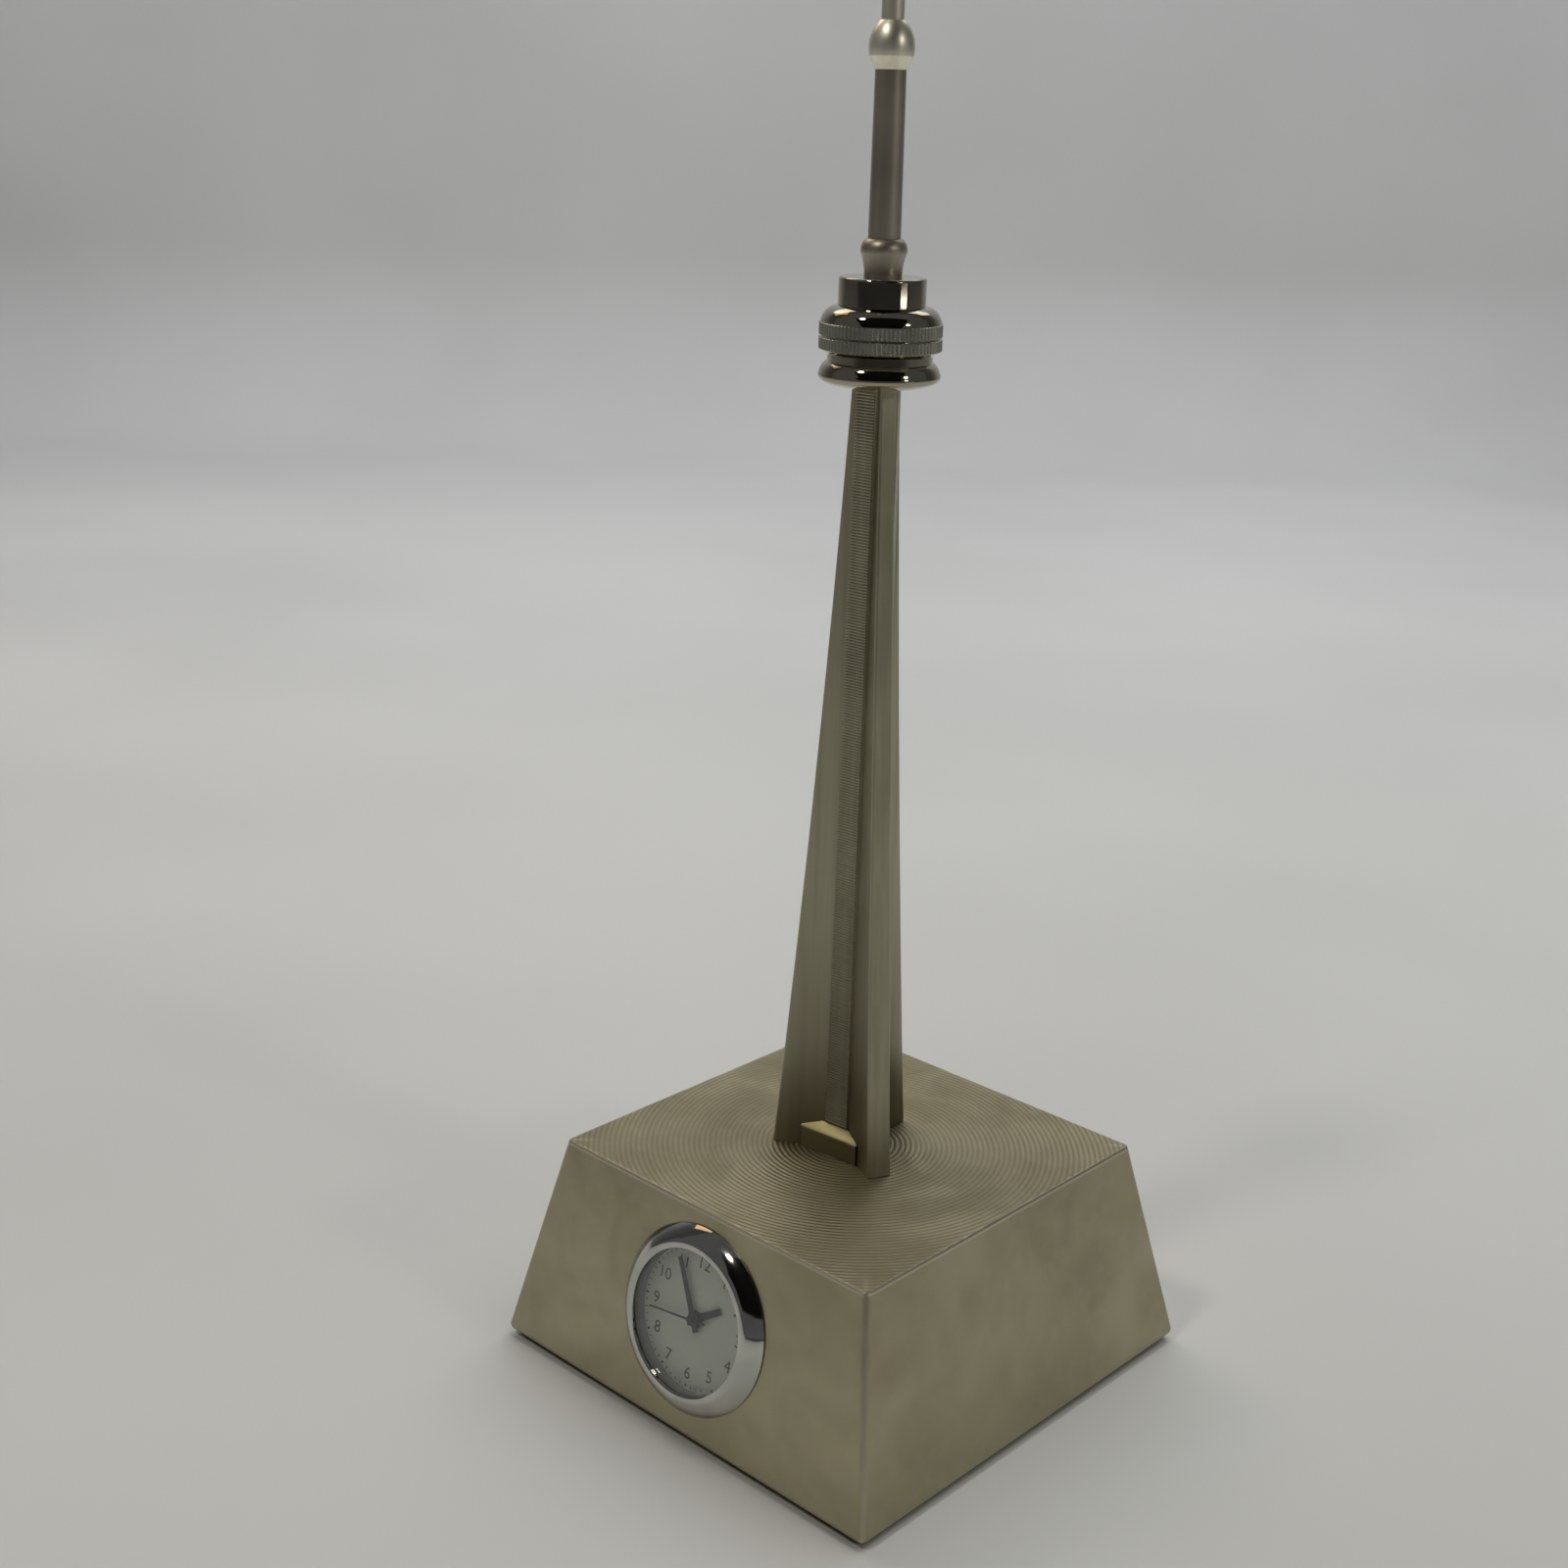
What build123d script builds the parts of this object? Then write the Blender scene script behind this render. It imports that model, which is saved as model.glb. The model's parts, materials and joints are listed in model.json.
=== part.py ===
from build123d import *

import os
from math import atan, atan2, cos, degrees, hypot, radians, sin, tan

# Desk clock in the shape of a three-legged broadcasting tower on a cast plinth. Millimetres, +Z up.
# The origin is the centre of the footprint, on the desk. The clock insert looks along -Y.
# Heights on the tower are counted from the plinth's top. Levels in the insert are counted outwards
# from the plinth's face: u runs to the dial's right, v to its 12, and negative levels lie inside.

# ------------------------------------------------------------------ plinth
FLOOR_SIDE = 72.8          # side of the square where the four faces would meet the desk
FACE_LEAN = 0.2073         # inward lean of each face per millimetre of height
BASE_TOP = 33.0
SHELL_WALL = 2.5
ROOF_THICK = 3.0
CORNER_RADIUS = 1.0
TOP_EDGE_RADIUS = 0.5
FOOT_RADIUS = 0.9

GROOVE_PITCH = 0.78        # turned rings on the plinth's top
GROOVE_DEPTH = 0.1
GROOVE_SKIM = 0.01         # the ridges stand this far below the uncut top
FIRST_GROOVE = 3.9
GROOVE_COUNT = 49

FELT_THICK = 0.9
FELT_INSET = 1.4
PLATE_THICK = 1.2
PLATE_INSET = 1.85         # from the shell's foot to the bottom plate's edge
PLATE_GAP = 0.1
POST_SPACING = 48.0
POST_RADIUS = 3.0
PLATE_SCREW_RADIUS = 1.0
PLATE_SCREW_HEAD = 2.1
PLATE_SCREW_LENGTH = 8.0
THREAD_GAP = 0.05          # between a screw and its hole

BOSS_RADIUS = 6.0
BOSS_DEPTH = 6.0
TOWER_SCREW_RADIUS = 1.95
TOWER_SCREW_HEAD = 3.6
TOWER_SCREW_HEAD_HEIGHT = 2.4
TOWER_SCREW_REACH = 8.0    # into the shaft
WASHER_RADIUS = 4.6
WASHER_THICK = 0.8
SOCKET_KEY = 1.4           # apothem of the hexagon key hole in the tower screw

# ------------------------------------------------------------------ tower
TOWER_TURN = 4            # the tower stands turned by this on the plinth
LEG_AZIMUTHS = [TOWER_TURN + azimuth for azimuth in (-150, -30, 90)]
SHAFT_HEIGHT = 111.0
LEG_REACH = 11.2, 6.75, 3.4            # from the axis at the foot, half way and at the top
LEG_THICK = 3.6, 2.15                  # at the foot and at the top
LEG_EDGE_RADIUS = 0.3
CORE_APOTHEM = 3.5, 2.7                # at the foot and at the top
KEY_PIN_RADIUS = 0.75
KEY_PIN_LENGTH = 2.0
KEY_PIN_AT = 7.8

PAVILION_EAVES = 3.1
PAVILION_RIDGE = 4.0
PAVILION_FRONT = 5.4       # from the tower's axis
PAVILION_GAP = 0.1         # to the legs, along its front

STUD_RADIUS = 1.5          # lower end of the mast, through the pod and into the shaft
STUD_FOOT = 101.5
POD_BORE = 1.6
DRUM_FOOT = 115.2
TIER_FOOT = 121.45
POD_TOP = 125.1
COLLAR_TOP = 129.9
MAST_TOP = 150.6
SKY_POD_TOP = 156.5
SHANK_RADIUS = 1.05        # lower end of the antenna, through the sky pod and into the mast
SHANK_BORE = 1.1
SHANK_FOOT = 146.0
ANTENNA_TOP = 189.0
TIP_RADIUS = 0.45

# ------------------------------------------------------------------ clock insert
CLOCK_HEIGHT = 17.62       # centre of the dial on the sloping face
CLOCK_SHIFT = 0.9          # of that centre to the right of the face's middle
SEAT_GAP = 0.03
SOCKET_RADIUS = 12.2
SOCKET_LENGTH = 5.0
COLLAR_WALL = 1.5
CASE_RADIUS = 11.9
CASE_BORE = 11.3
CASE_REAR = -5.15
BACK_THICK = 0.45
BACK_SPIGOT = 11.25, 10.7
BACK_SPIGOT_DEPTH = 0.35
GASKET = 11.92, 12.15, -1.7, -0.4      # inner and outer radius, rear and front level
DIAL_RADIUS = 11.2
DIAL_LEVELS = -1.3, -0.9
DIAL_HOLE = 0.7
DIAL_FEET = (-8.3, 3.4), (5.0, -8.0)
DIAL_FOOT_RADIUS = 0.3
DIAL_RING = 10.4, 10.95, -0.88, 0.93
CRYSTAL_RADIUS = 10.95
CRYSTAL_LEVELS = 0.95, 1.63
BEZEL_LIP = 10.3
RING_RADII = 10.2, 11.2
RING_REAR = -4.75

PLATE_RADIUS = 10.1
PLATE_FLAT = 8.3           # the main plate stops here, beside the crown pocket
PLATE_LEVELS = -2.7, -2.0
BRIDGE_LEVELS = -4.5, -4.25
PILLARS = (-3.7, 1.6), (4.4, 1.3), (0.9, -5.6)
PILLAR_RADIUS = 0.7
BRIDGE_SCREW_RADIUS = 0.25
BRIDGE_SCREW_HEAD = 0.6
BOARD_LEVELS = -4.75, -4.57
BOARD_POSTS = (3.0, -7.7), (5.9, -7.4)
BOARD_POST_RADIUS = 0.35
CAN_RADIUS = 0.72          # of the quartz crystal's can, which lies on the board

PIVOT = 0.12
PIVOT_GAP = 0.03
THIRD_AT = 3.06, -40       # distance from the centre and direction, as for the next two
INTERMEDIATE_AT = 3.12, 80
MINUTE_WHEEL_AT = 3.0, 200
ROTOR_STEP = 2.24, 60      # from the intermediate wheel
HOUR_ANGLE = 56            # hands at rest, degrees clockwise from 12
MINUTE_ANGLE = 331
SECONDS_ANGLE = 262

CELL_AT = -3.7, -5.15
CELL_RADIUS = 3.4
CELL_LEVELS = -4.85, -2.75
COIL_V = 7.4
COIL_LEVEL = -3.55
STATOR_LEVELS = -4.05, -3.75
STATOR_V = 5.0
STATOR_WIDTH = 1.5
STATOR_HALF = 5.5
ROTOR_HOLE = 0.95
MAGNET_RADIUS = 0.7

STEM_LEVEL = -3.4
STEM_RADIUS = 0.4
STEM_NECK = 0.25
CROWN_RADIUS = 1.15
POCKET_HALF = 1.5
POCKET_WALL = 0.6
POCKET_START = 9.2
POCKET_FRONT = -2.1

LEAN_ANGLE = degrees(atan(FACE_LEAN))
CEILING = BASE_TOP - ROOF_THICK
PLATE_TOP = FELT_THICK + PLATE_THICK


def side_at(height):
    """Side of the plinth's square at a height above the desk."""
    return FLOOR_SIDE - 2 * FACE_LEAN * height


def polar(radius, angle):
    """Point at a radius and an angle in degrees, counted from +X or +u."""
    return radius * cos(radians(angle)), radius * sin(radians(angle))


FACE = Plane(
    origin=(CLOCK_SHIFT, -side_at(CLOCK_HEIGHT) / 2, CLOCK_HEIGHT),
    x_dir=(1, 0, 0),
    z_dir=(0, -cos(radians(LEAN_ANGLE)), sin(radians(LEAN_ANGLE))),
)
CLOCK = FACE.offset(SEAT_GAP)
CLOCK_AXIS = Axis(CLOCK.origin, CLOCK.z_dir)
CLOCK_SECTION = Plane(origin=CLOCK.origin, x_dir=CLOCK.x_dir, z_dir=-CLOCK.y_dir)
TOWER_SECTION = Plane(origin=(0, 0, BASE_TOP), x_dir=(1, 0, 0), z_dir=(0, -1, 0))
TOWER_SEAT = Plane(origin=(0, 0, BASE_TOP), x_dir=(*polar(1, TOWER_TURN), 0), z_dir=(0, 0, 1))


def stem_plane(u):
    """Cross-section of the stem at u, with v and the level as its own axes."""
    return Plane(
        origin=CLOCK.from_local_coords((u, 0, STEM_LEVEL)), x_dir=CLOCK.y_dir, z_dir=CLOCK.x_dir
    )


# ================================================================== plinth
with BuildPart() as base_shell:
    foot_side = side_at(FELT_THICK)
    with BuildSketch(Plane.XY.offset(FELT_THICK)):
        Rectangle(foot_side, foot_side)
    extrude(amount=BASE_TOP - FELT_THICK, taper=LEAN_ANGLE)
    fillet(base_shell.edges().filter_by(lambda edge: abs(edge.tangent_at(0.5).Z) > 0.5), CORNER_RADIUS)
    fillet(base_shell.faces().sort_by(Axis.Z)[-1].edges(), TOP_EDGE_RADIUS)
    fillet(base_shell.faces().sort_by(Axis.Z)[0].edges(), FOOT_RADIUS)

    # recess for the bottom plate, then the hollow above it
    with BuildSketch(Plane.XY.offset(FELT_THICK)):
        Rectangle(foot_side - 2 * PLATE_INSET, foot_side - 2 * PLATE_INSET)
    extrude(amount=PLATE_THICK, mode=Mode.SUBTRACT)
    hollow_side = side_at(PLATE_TOP) - 2 * SHELL_WALL / cos(radians(LEAN_ANGLE))
    with BuildSketch(Plane.XY.offset(PLATE_TOP)):
        Rectangle(hollow_side, hollow_side)
    extrude(amount=CEILING - PLATE_TOP, taper=LEAN_ANGLE, mode=Mode.SUBTRACT)

    # screw posts, and the boss that the tower is pulled down to
    with BuildSketch(Plane.XY.offset(PLATE_TOP)):
        with GridLocations(POST_SPACING, POST_SPACING, 2, 2):
            Circle(POST_RADIUS)
    extrude(amount=CEILING - PLATE_TOP)
    with BuildSketch(Plane.XY.offset(PLATE_TOP)):
        with GridLocations(POST_SPACING, POST_SPACING, 2, 2):
            Circle(PLATE_SCREW_RADIUS + THREAD_GAP)
    extrude(amount=PLATE_SCREW_LENGTH, mode=Mode.SUBTRACT)
    with BuildSketch(Plane.XY.offset(CEILING - BOSS_DEPTH)):
        Circle(BOSS_RADIUS)
    extrude(amount=BOSS_DEPTH)
    with BuildSketch(Plane.XY.offset(CEILING - BOSS_DEPTH)):
        Circle(TOWER_SCREW_RADIUS + 0.25)
    extrude(amount=BOSS_DEPTH + ROOF_THICK, mode=Mode.SUBTRACT)

    # socket for the clock insert, with a collar behind the wall
    with BuildSketch(FACE.offset(-SHELL_WALL / 2)):
        Circle(SOCKET_RADIUS + COLLAR_WALL)
    extrude(amount=-(SOCKET_LENGTH - SHELL_WALL / 2))
    with BuildSketch(FACE.offset(1)):
        Circle(SOCKET_RADIUS)
    extrude(amount=-(SOCKET_LENGTH + 2), mode=Mode.SUBTRACT)

    # holes for the shaft's key pins
    with BuildSketch(Plane.XY.offset(BASE_TOP - KEY_PIN_LENGTH - 0.2)):
        with Locations(*[polar(KEY_PIN_AT, azimuth) for azimuth in LEG_AZIMUTHS[:2]]):
            Circle(KEY_PIN_RADIUS + THREAD_GAP)
    extrude(amount=KEY_PIN_LENGTH + 1, mode=Mode.SUBTRACT)

    # turned rings across the top
    with BuildSketch(Plane.XZ):
        ring_points = []
        for index in range(GROOVE_COUNT):
            groove_radius = FIRST_GROOVE + index * GROOVE_PITCH
            ring_points.append((groove_radius, BASE_TOP - GROOVE_SKIM))
            ring_points.append((groove_radius + GROOVE_PITCH / 2, BASE_TOP - GROOVE_DEPTH))
        last_radius = FIRST_GROOVE + GROOVE_COUNT * GROOVE_PITCH
        ring_points.append((last_radius, BASE_TOP - GROOVE_SKIM))
        Polygon(*ring_points, (last_radius, BASE_TOP + 1), (FIRST_GROOVE, BASE_TOP + 1))
    revolve(axis=Axis.Z, mode=Mode.SUBTRACT)

with BuildPart() as bottom_plate:
    plate_side = foot_side - 2 * (PLATE_INSET + PLATE_GAP)
    with BuildSketch(Plane.XY.offset(FELT_THICK)):
        Rectangle(plate_side, plate_side)
    extrude(amount=PLATE_THICK)
    with Locations(Plane(origin=(0, 0, FELT_THICK), x_dir=(1, 0, 0), z_dir=(0, 0, -1))):
        with GridLocations(POST_SPACING, POST_SPACING, 2, 2):
            CounterSinkHole(PLATE_SCREW_RADIUS + 0.2, PLATE_SCREW_HEAD + 0.1, counter_sink_angle=90)

with BuildPart() as plate_screw:
    with BuildSketch(Plane.XZ):
        Polygon(
            (0, FELT_THICK + 0.5),
            (0.9, FELT_THICK),
            (PLATE_SCREW_HEAD, FELT_THICK),
            (PLATE_SCREW_RADIUS, FELT_THICK + PLATE_SCREW_HEAD - PLATE_SCREW_RADIUS),
            (PLATE_SCREW_RADIUS, PLATE_TOP + PLATE_SCREW_LENGTH - 1.2),
            (0, PLATE_TOP + PLATE_SCREW_LENGTH - 0.5),
        )
    revolve(axis=Axis.Z)

with BuildPart() as plate_screws:
    with GridLocations(POST_SPACING, POST_SPACING, 2, 2):
        add(plate_screw.part)

with BuildPart() as felt_pad:
    with BuildSketch():
        RectangleRounded(foot_side - 2 * FELT_INSET, foot_side - 2 * FELT_INSET, CORNER_RADIUS)
    extrude(amount=FELT_THICK)

with BuildPart() as tower_washer:
    with BuildSketch(Plane.XY.offset(CEILING - BOSS_DEPTH - WASHER_THICK)):
        Circle(WASHER_RADIUS)
        Circle(TOWER_SCREW_RADIUS + 0.2, mode=Mode.SUBTRACT)
    extrude(amount=WASHER_THICK)

with BuildPart() as tower_screw:
    seat = CEILING - BOSS_DEPTH - WASHER_THICK
    with BuildSketch(Plane.XY.offset(seat - TOWER_SCREW_HEAD_HEIGHT)):
        Circle(TOWER_SCREW_HEAD)
    extrude(amount=TOWER_SCREW_HEAD_HEIGHT)
    fillet(tower_screw.edges().sort_by(Axis.Z)[0], 0.5)
    with BuildSketch(Plane.XY.offset(seat)):
        Circle(TOWER_SCREW_RADIUS)
    extrude(amount=BASE_TOP + TOWER_SCREW_REACH - seat)
    chamfer(tower_screw.edges().sort_by(Axis.Z)[-1], 0.5)
    with BuildSketch(Plane.XY.offset(seat - TOWER_SCREW_HEAD_HEIGHT)):
        RegularPolygon(SOCKET_KEY, 6, major_radius=False)
    extrude(amount=TOWER_SCREW_HEAD_HEIGHT - 0.8, mode=Mode.SUBTRACT)


# ================================================================== tower
def tower_leg(azimuth):
    """One leg of the shaft: a curved outer edge, and sides that come together towards the top."""
    across = azimuth - 90
    radial = Plane(
        origin=(0, 0, BASE_TOP),
        x_dir=(*polar(1, azimuth), 0),
        z_dir=(*polar(1, across), 0),
    )
    with BuildPart() as leg:
        with BuildSketch(radial):
            with BuildLine():
                Polyline((0, SHAFT_HEIGHT), (0, 0), (LEG_REACH[0], 0))
                ThreePointArc(
                    (LEG_REACH[0], 0),
                    (LEG_REACH[1], SHAFT_HEIGHT / 2),
                    (LEG_REACH[2], SHAFT_HEIGHT),
                )
                Line((LEG_REACH[2], SHAFT_HEIGHT), (0, SHAFT_HEIGHT))
            make_face()
        extrude(amount=LEG_THICK[0], both=True)
        with BuildSketch(Plane.XY.offset(BASE_TOP)):
            Rectangle(4 * LEG_REACH[0], LEG_THICK[0], rotation=azimuth)
        with BuildSketch(Plane.XY.offset(BASE_TOP + SHAFT_HEIGHT)):
            Rectangle(4 * LEG_REACH[0], LEG_THICK[1], rotation=azimuth)
        loft(mode=Mode.INTERSECT)
        outer_edges = leg.edges().filter_by(lambda edge: edge.length > SHAFT_HEIGHT + 0.1)
        fillet(outer_edges, LEG_EDGE_RADIUS)
    return leg.part


with BuildPart() as tower_shaft:
    for leg_azimuth in LEG_AZIMUTHS:
        add(tower_leg(leg_azimuth))
    with BuildSketch(TOWER_SEAT):
        RegularPolygon(CORE_APOTHEM[0], 6, major_radius=False)
    with BuildSketch(TOWER_SEAT.offset(SHAFT_HEIGHT)):
        RegularPolygon(CORE_APOTHEM[1], 6, major_radius=False)
    loft()
    with BuildSketch(Plane.XY.offset(BASE_TOP - KEY_PIN_LENGTH)):
        with Locations(*[polar(KEY_PIN_AT, azimuth) for azimuth in LEG_AZIMUTHS[:2]]):
            Circle(KEY_PIN_RADIUS)
    extrude(amount=KEY_PIN_LENGTH + 1)
    with BuildSketch(Plane.XY.offset(BASE_TOP)):
        Circle(TOWER_SCREW_RADIUS + THREAD_GAP)
    extrude(amount=TOWER_SCREW_REACH + 1, mode=Mode.SUBTRACT)
    with BuildSketch(Plane.XY.offset(BASE_TOP + STUD_FOOT - 1)):
        Circle(STUD_RADIUS + THREAD_GAP)
    extrude(amount=SHAFT_HEIGHT - STUD_FOOT + 1, mode=Mode.SUBTRACT)

with BuildPart() as entrance_pavilion:
    back = CORE_APOTHEM[0] + 0.05
    back_half, front_half = [
        distance * tan(radians(60)) - LEG_THICK[0] - PAVILION_GAP for distance in (back, PAVILION_FRONT)
    ]
    with BuildSketch(TOWER_SEAT) as pavilion_outline:
        Polygon(
            (-back_half, -back),
            (back_half, -back),
            (front_half, -PAVILION_FRONT),
            (-front_half, -PAVILION_FRONT),
        )
        fillet(pavilion_outline.vertices().group_by(Axis.Y)[0], 0.2)
    extrude(amount=PAVILION_RIDGE)
    # roof that falls to the front
    end_view = Plane(origin=TOWER_SEAT.origin, x_dir=-TOWER_SEAT.y_dir, z_dir=-TOWER_SEAT.x_dir)
    with BuildSketch(end_view) as pavilion_end:
        Polygon((back, 0), (PAVILION_FRONT, 0), (PAVILION_FRONT, PAVILION_EAVES), (back, PAVILION_RIDGE))
        fillet(pavilion_end.vertices().group_by(Axis.X)[-1].sort_by(Axis.Y)[-1], 0.3)
    extrude(amount=front_half, both=True, mode=Mode.INTERSECT)

with BuildPart() as pod_flange:
    with BuildSketch(TOWER_SECTION):
        with BuildLine():
            Polyline((POD_BORE, DRUM_FOOT), (POD_BORE, SHAFT_HEIGHT), (4.3, SHAFT_HEIGHT))
            ThreePointArc((4.3, SHAFT_HEIGHT), (6.3, 111.2), (7.7, 111.75))
            ThreePointArc((7.7, 111.75), (8.1, 112.3), (8.0, 112.9))
            ThreePointArc((8.0, 112.9), (7.7, 113.65), (7.2, 114.2))
            Polyline((7.2, 114.2), (7.0, 114.25), (7.0, DRUM_FOOT), (POD_BORE, DRUM_FOOT))
        make_face()
    revolve(axis=Axis.Z)

with BuildPart() as pod_drum:
    with BuildSketch(TOWER_SECTION):
        with BuildLine():
            Polyline((POD_BORE, TIER_FOOT), (POD_BORE, DRUM_FOOT), (7.1, DRUM_FOOT))
            Polyline((7.1, DRUM_FOOT), (7.75, 115.7), (8.0, 115.8), (8.0, 117.4), (7.75, 117.45))
            Polyline((7.75, 117.45), (7.75, 117.55), (8.0, 117.6), (8.0, 119.3))
            ThreePointArc((8.0, 119.3), (7.45, 120.6), (5.95, TIER_FOOT))
            Line((5.95, TIER_FOOT), (POD_BORE, TIER_FOOT))
        make_face()
    revolve(axis=Axis.Z)

with BuildPart() as pod_tier:
    with BuildSketch(TOWER_SECTION):
        with BuildLine():
            Polyline((POD_BORE, POD_TOP), (POD_BORE, TIER_FOOT), (5.78, TIER_FOOT), (5.78, 124.75))
            ThreePointArc((5.78, 124.75), (5.68, 125.0), (5.43, POD_TOP))
            Line((5.43, POD_TOP), (POD_BORE, POD_TOP))
        make_face()
    revolve(axis=Axis.Z)

with BuildPart() as mast_collar:
    with BuildSketch(TOWER_SECTION):
        with BuildLine():
            Polyline((POD_BORE, COLLAR_TOP), (POD_BORE, POD_TOP), (2.5, POD_TOP), (2.5, 125.5))
            ThreePointArc((2.5, 125.5), (2.65, 126.9), (3.0, 128.1))
            ThreePointArc((3.0, 128.1), (2.95, 129.1), (2.35, COLLAR_TOP))
            Line((2.35, COLLAR_TOP), (POD_BORE, COLLAR_TOP))
        make_face()
    revolve(axis=Axis.Z)

with BuildPart() as mast:
    with BuildSketch(TOWER_SECTION):
        Polygon(
            (0, STUD_FOOT),
            (STUD_RADIUS - 0.3, STUD_FOOT),
            (STUD_RADIUS, STUD_FOOT + 0.3),
            (STUD_RADIUS, COLLAR_TOP),
            (2.15, COLLAR_TOP),
            (2.0, MAST_TOP),
            (SHANK_BORE, MAST_TOP),
            (SHANK_BORE, SHANK_FOOT - 0.4),
            (0, SHANK_FOOT - 0.4),
        )
    revolve(axis=Axis.Z)

with BuildPart() as sky_pod:
    with BuildSketch(TOWER_SECTION):
        with BuildLine():
            Polyline((SHANK_BORE, SKY_POD_TOP), (SHANK_BORE, MAST_TOP), (2.1, MAST_TOP))
            Line((2.1, MAST_TOP), (2.85, 152.2))
            ThreePointArc((2.85, 152.2), (2.9, 154.0), (1.65, SKY_POD_TOP))
            Line((1.65, SKY_POD_TOP), (SHANK_BORE, SKY_POD_TOP))
        make_face()
    revolve(axis=Axis.Z)

with BuildPart() as antenna:
    with BuildSketch(TOWER_SECTION):
        with BuildLine():
            Polyline(
                (0, ANTENNA_TOP),
                (0, SHANK_FOOT),
                (SHANK_RADIUS, SHANK_FOOT),
                (SHANK_RADIUS, SKY_POD_TOP),
                (1.47, SKY_POD_TOP),
                (1.47, 164.6),
                (1.15, 165.2),
                (1.15, 173.0),
                (0.8, 173.6),
                (0.8, 181.0),
                (TIP_RADIUS, 181.6),
                (TIP_RADIUS, ANTENNA_TOP - TIP_RADIUS),
            )
            ThreePointArc(
                (TIP_RADIUS, ANTENNA_TOP - TIP_RADIUS),
                (TIP_RADIUS * cos(radians(45)), ANTENNA_TOP - TIP_RADIUS * (1 - sin(radians(45)))),
                (0, ANTENNA_TOP),
            )
        make_face()
    revolve(axis=Axis.Z)


# ================================================================== clock case
with BuildPart() as bezel:
    bore = CRYSTAL_RADIUS + 0.05
    under_lip = CRYSTAL_LEVELS[1] + 0.02
    with BuildSketch(CLOCK_SECTION):
        with BuildLine():
            Polyline((BEZEL_LIP, 1.9), (BEZEL_LIP, under_lip), (bore, under_lip), (bore, -0.6))
            Polyline((bore, -0.6), (CASE_BORE - 0.05, -0.6), (CASE_BORE - 0.05, 0))
            Polyline((CASE_BORE - 0.05, 0), (13.4, 0), (13.5, 0.1), (13.5, 0.2))
            ThreePointArc((13.5, 0.2), (12.7, 1.05), (11.6, 1.8))
            ThreePointArc((11.6, 1.8), (10.95, 2.0), (BEZEL_LIP, 1.9))
        make_face()
    revolve(axis=CLOCK_AXIS)

with BuildPart() as crystal:
    with BuildSketch(CLOCK.offset(CRYSTAL_LEVELS[0])):
        Circle(CRYSTAL_RADIUS)
    extrude(amount=CRYSTAL_LEVELS[1] - CRYSTAL_LEVELS[0])

with BuildPart() as dial_ring:
    with BuildSketch(CLOCK.offset(DIAL_RING[2])):
        Circle(DIAL_RING[1])
        Circle(DIAL_RING[0], mode=Mode.SUBTRACT)
    extrude(amount=DIAL_RING[3] - DIAL_RING[2])

with BuildPart() as dial:
    with BuildSketch(CLOCK.offset(DIAL_LEVELS[0])):
        Circle(DIAL_RADIUS)
        Circle(DIAL_HOLE, mode=Mode.SUBTRACT)
    extrude(amount=DIAL_LEVELS[1] - DIAL_LEVELS[0])
    with BuildSketch(CLOCK.offset(PLATE_LEVELS[0] + 0.1)):
        with Locations(*DIAL_FEET):
            Circle(DIAL_FOOT_RADIUS)
    extrude(amount=DIAL_LEVELS[0] - PLATE_LEVELS[0])

with BuildPart() as clock_case:
    with BuildSketch(CLOCK.offset(CASE_REAR)):
        Circle(CASE_RADIUS)
        Circle(CASE_BORE, mode=Mode.SUBTRACT)
    extrude(amount=-CASE_REAR)
    # pocket for the crown: a block across the wall, hollowed from outside and behind
    block_start = POCKET_START - POCKET_WALL
    with BuildSketch(CLOCK.offset(CASE_REAR)):
        with Locations((block_start + 2, 0)):
            Rectangle(4, 2 * (POCKET_HALF + POCKET_WALL))
        Circle(CASE_RADIUS, mode=Mode.INTERSECT)
    extrude(amount=POCKET_FRONT + POCKET_WALL - CASE_REAR)
    with BuildSketch(CLOCK.offset(CASE_REAR)):
        with Locations((POCKET_START + 2, 0)):
            Rectangle(4, 2 * POCKET_HALF)
    extrude(amount=POCKET_FRONT - CASE_REAR, mode=Mode.SUBTRACT)
    with BuildSketch(stem_plane(block_start - 0.5)):
        Circle(STEM_RADIUS + 0.06)
    extrude(amount=1 + POCKET_WALL, mode=Mode.SUBTRACT)

with BuildPart() as gasket:
    with BuildSketch(CLOCK.offset(GASKET[2])):
        Circle(GASKET[1])
        Circle(GASKET[0], mode=Mode.SUBTRACT)
    extrude(amount=GASKET[3] - GASKET[2])

with BuildPart() as case_back:
    with BuildSketch(CLOCK.offset(CASE_REAR)):
        Circle(BACK_SPIGOT[0])
        Circle(BACK_SPIGOT[1], mode=Mode.SUBTRACT)
        with Locations((block_start + 2, 0)):
            Rectangle(4.5, 2 * (POCKET_HALF + POCKET_WALL) + 0.3, mode=Mode.SUBTRACT)
    extrude(amount=BACK_SPIGOT_DEPTH)
    with BuildSketch(CLOCK.offset(CASE_REAR - BACK_THICK)):
        Circle(CASE_RADIUS)
        with Locations((POCKET_START + 2, 0)):
            Rectangle(4, 2 * POCKET_HALF, mode=Mode.SUBTRACT)
    extrude(amount=BACK_THICK)
    with BuildSketch(CLOCK.offset(CASE_REAR - BACK_THICK)):
        with Locations((0, CASE_RADIUS)):
            Rectangle(4, 0.8)
    extrude(amount=BACK_THICK / 2, mode=Mode.SUBTRACT)


# ================================================================== hands
def hand_outline(reach, tail, half_root, half_tip):
    """Tapered baton that points to 12 and runs past the centre by its tail."""
    return [(-half_root, -tail), (half_root, -tail), (half_tip, reach), (-half_tip, reach)]


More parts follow.
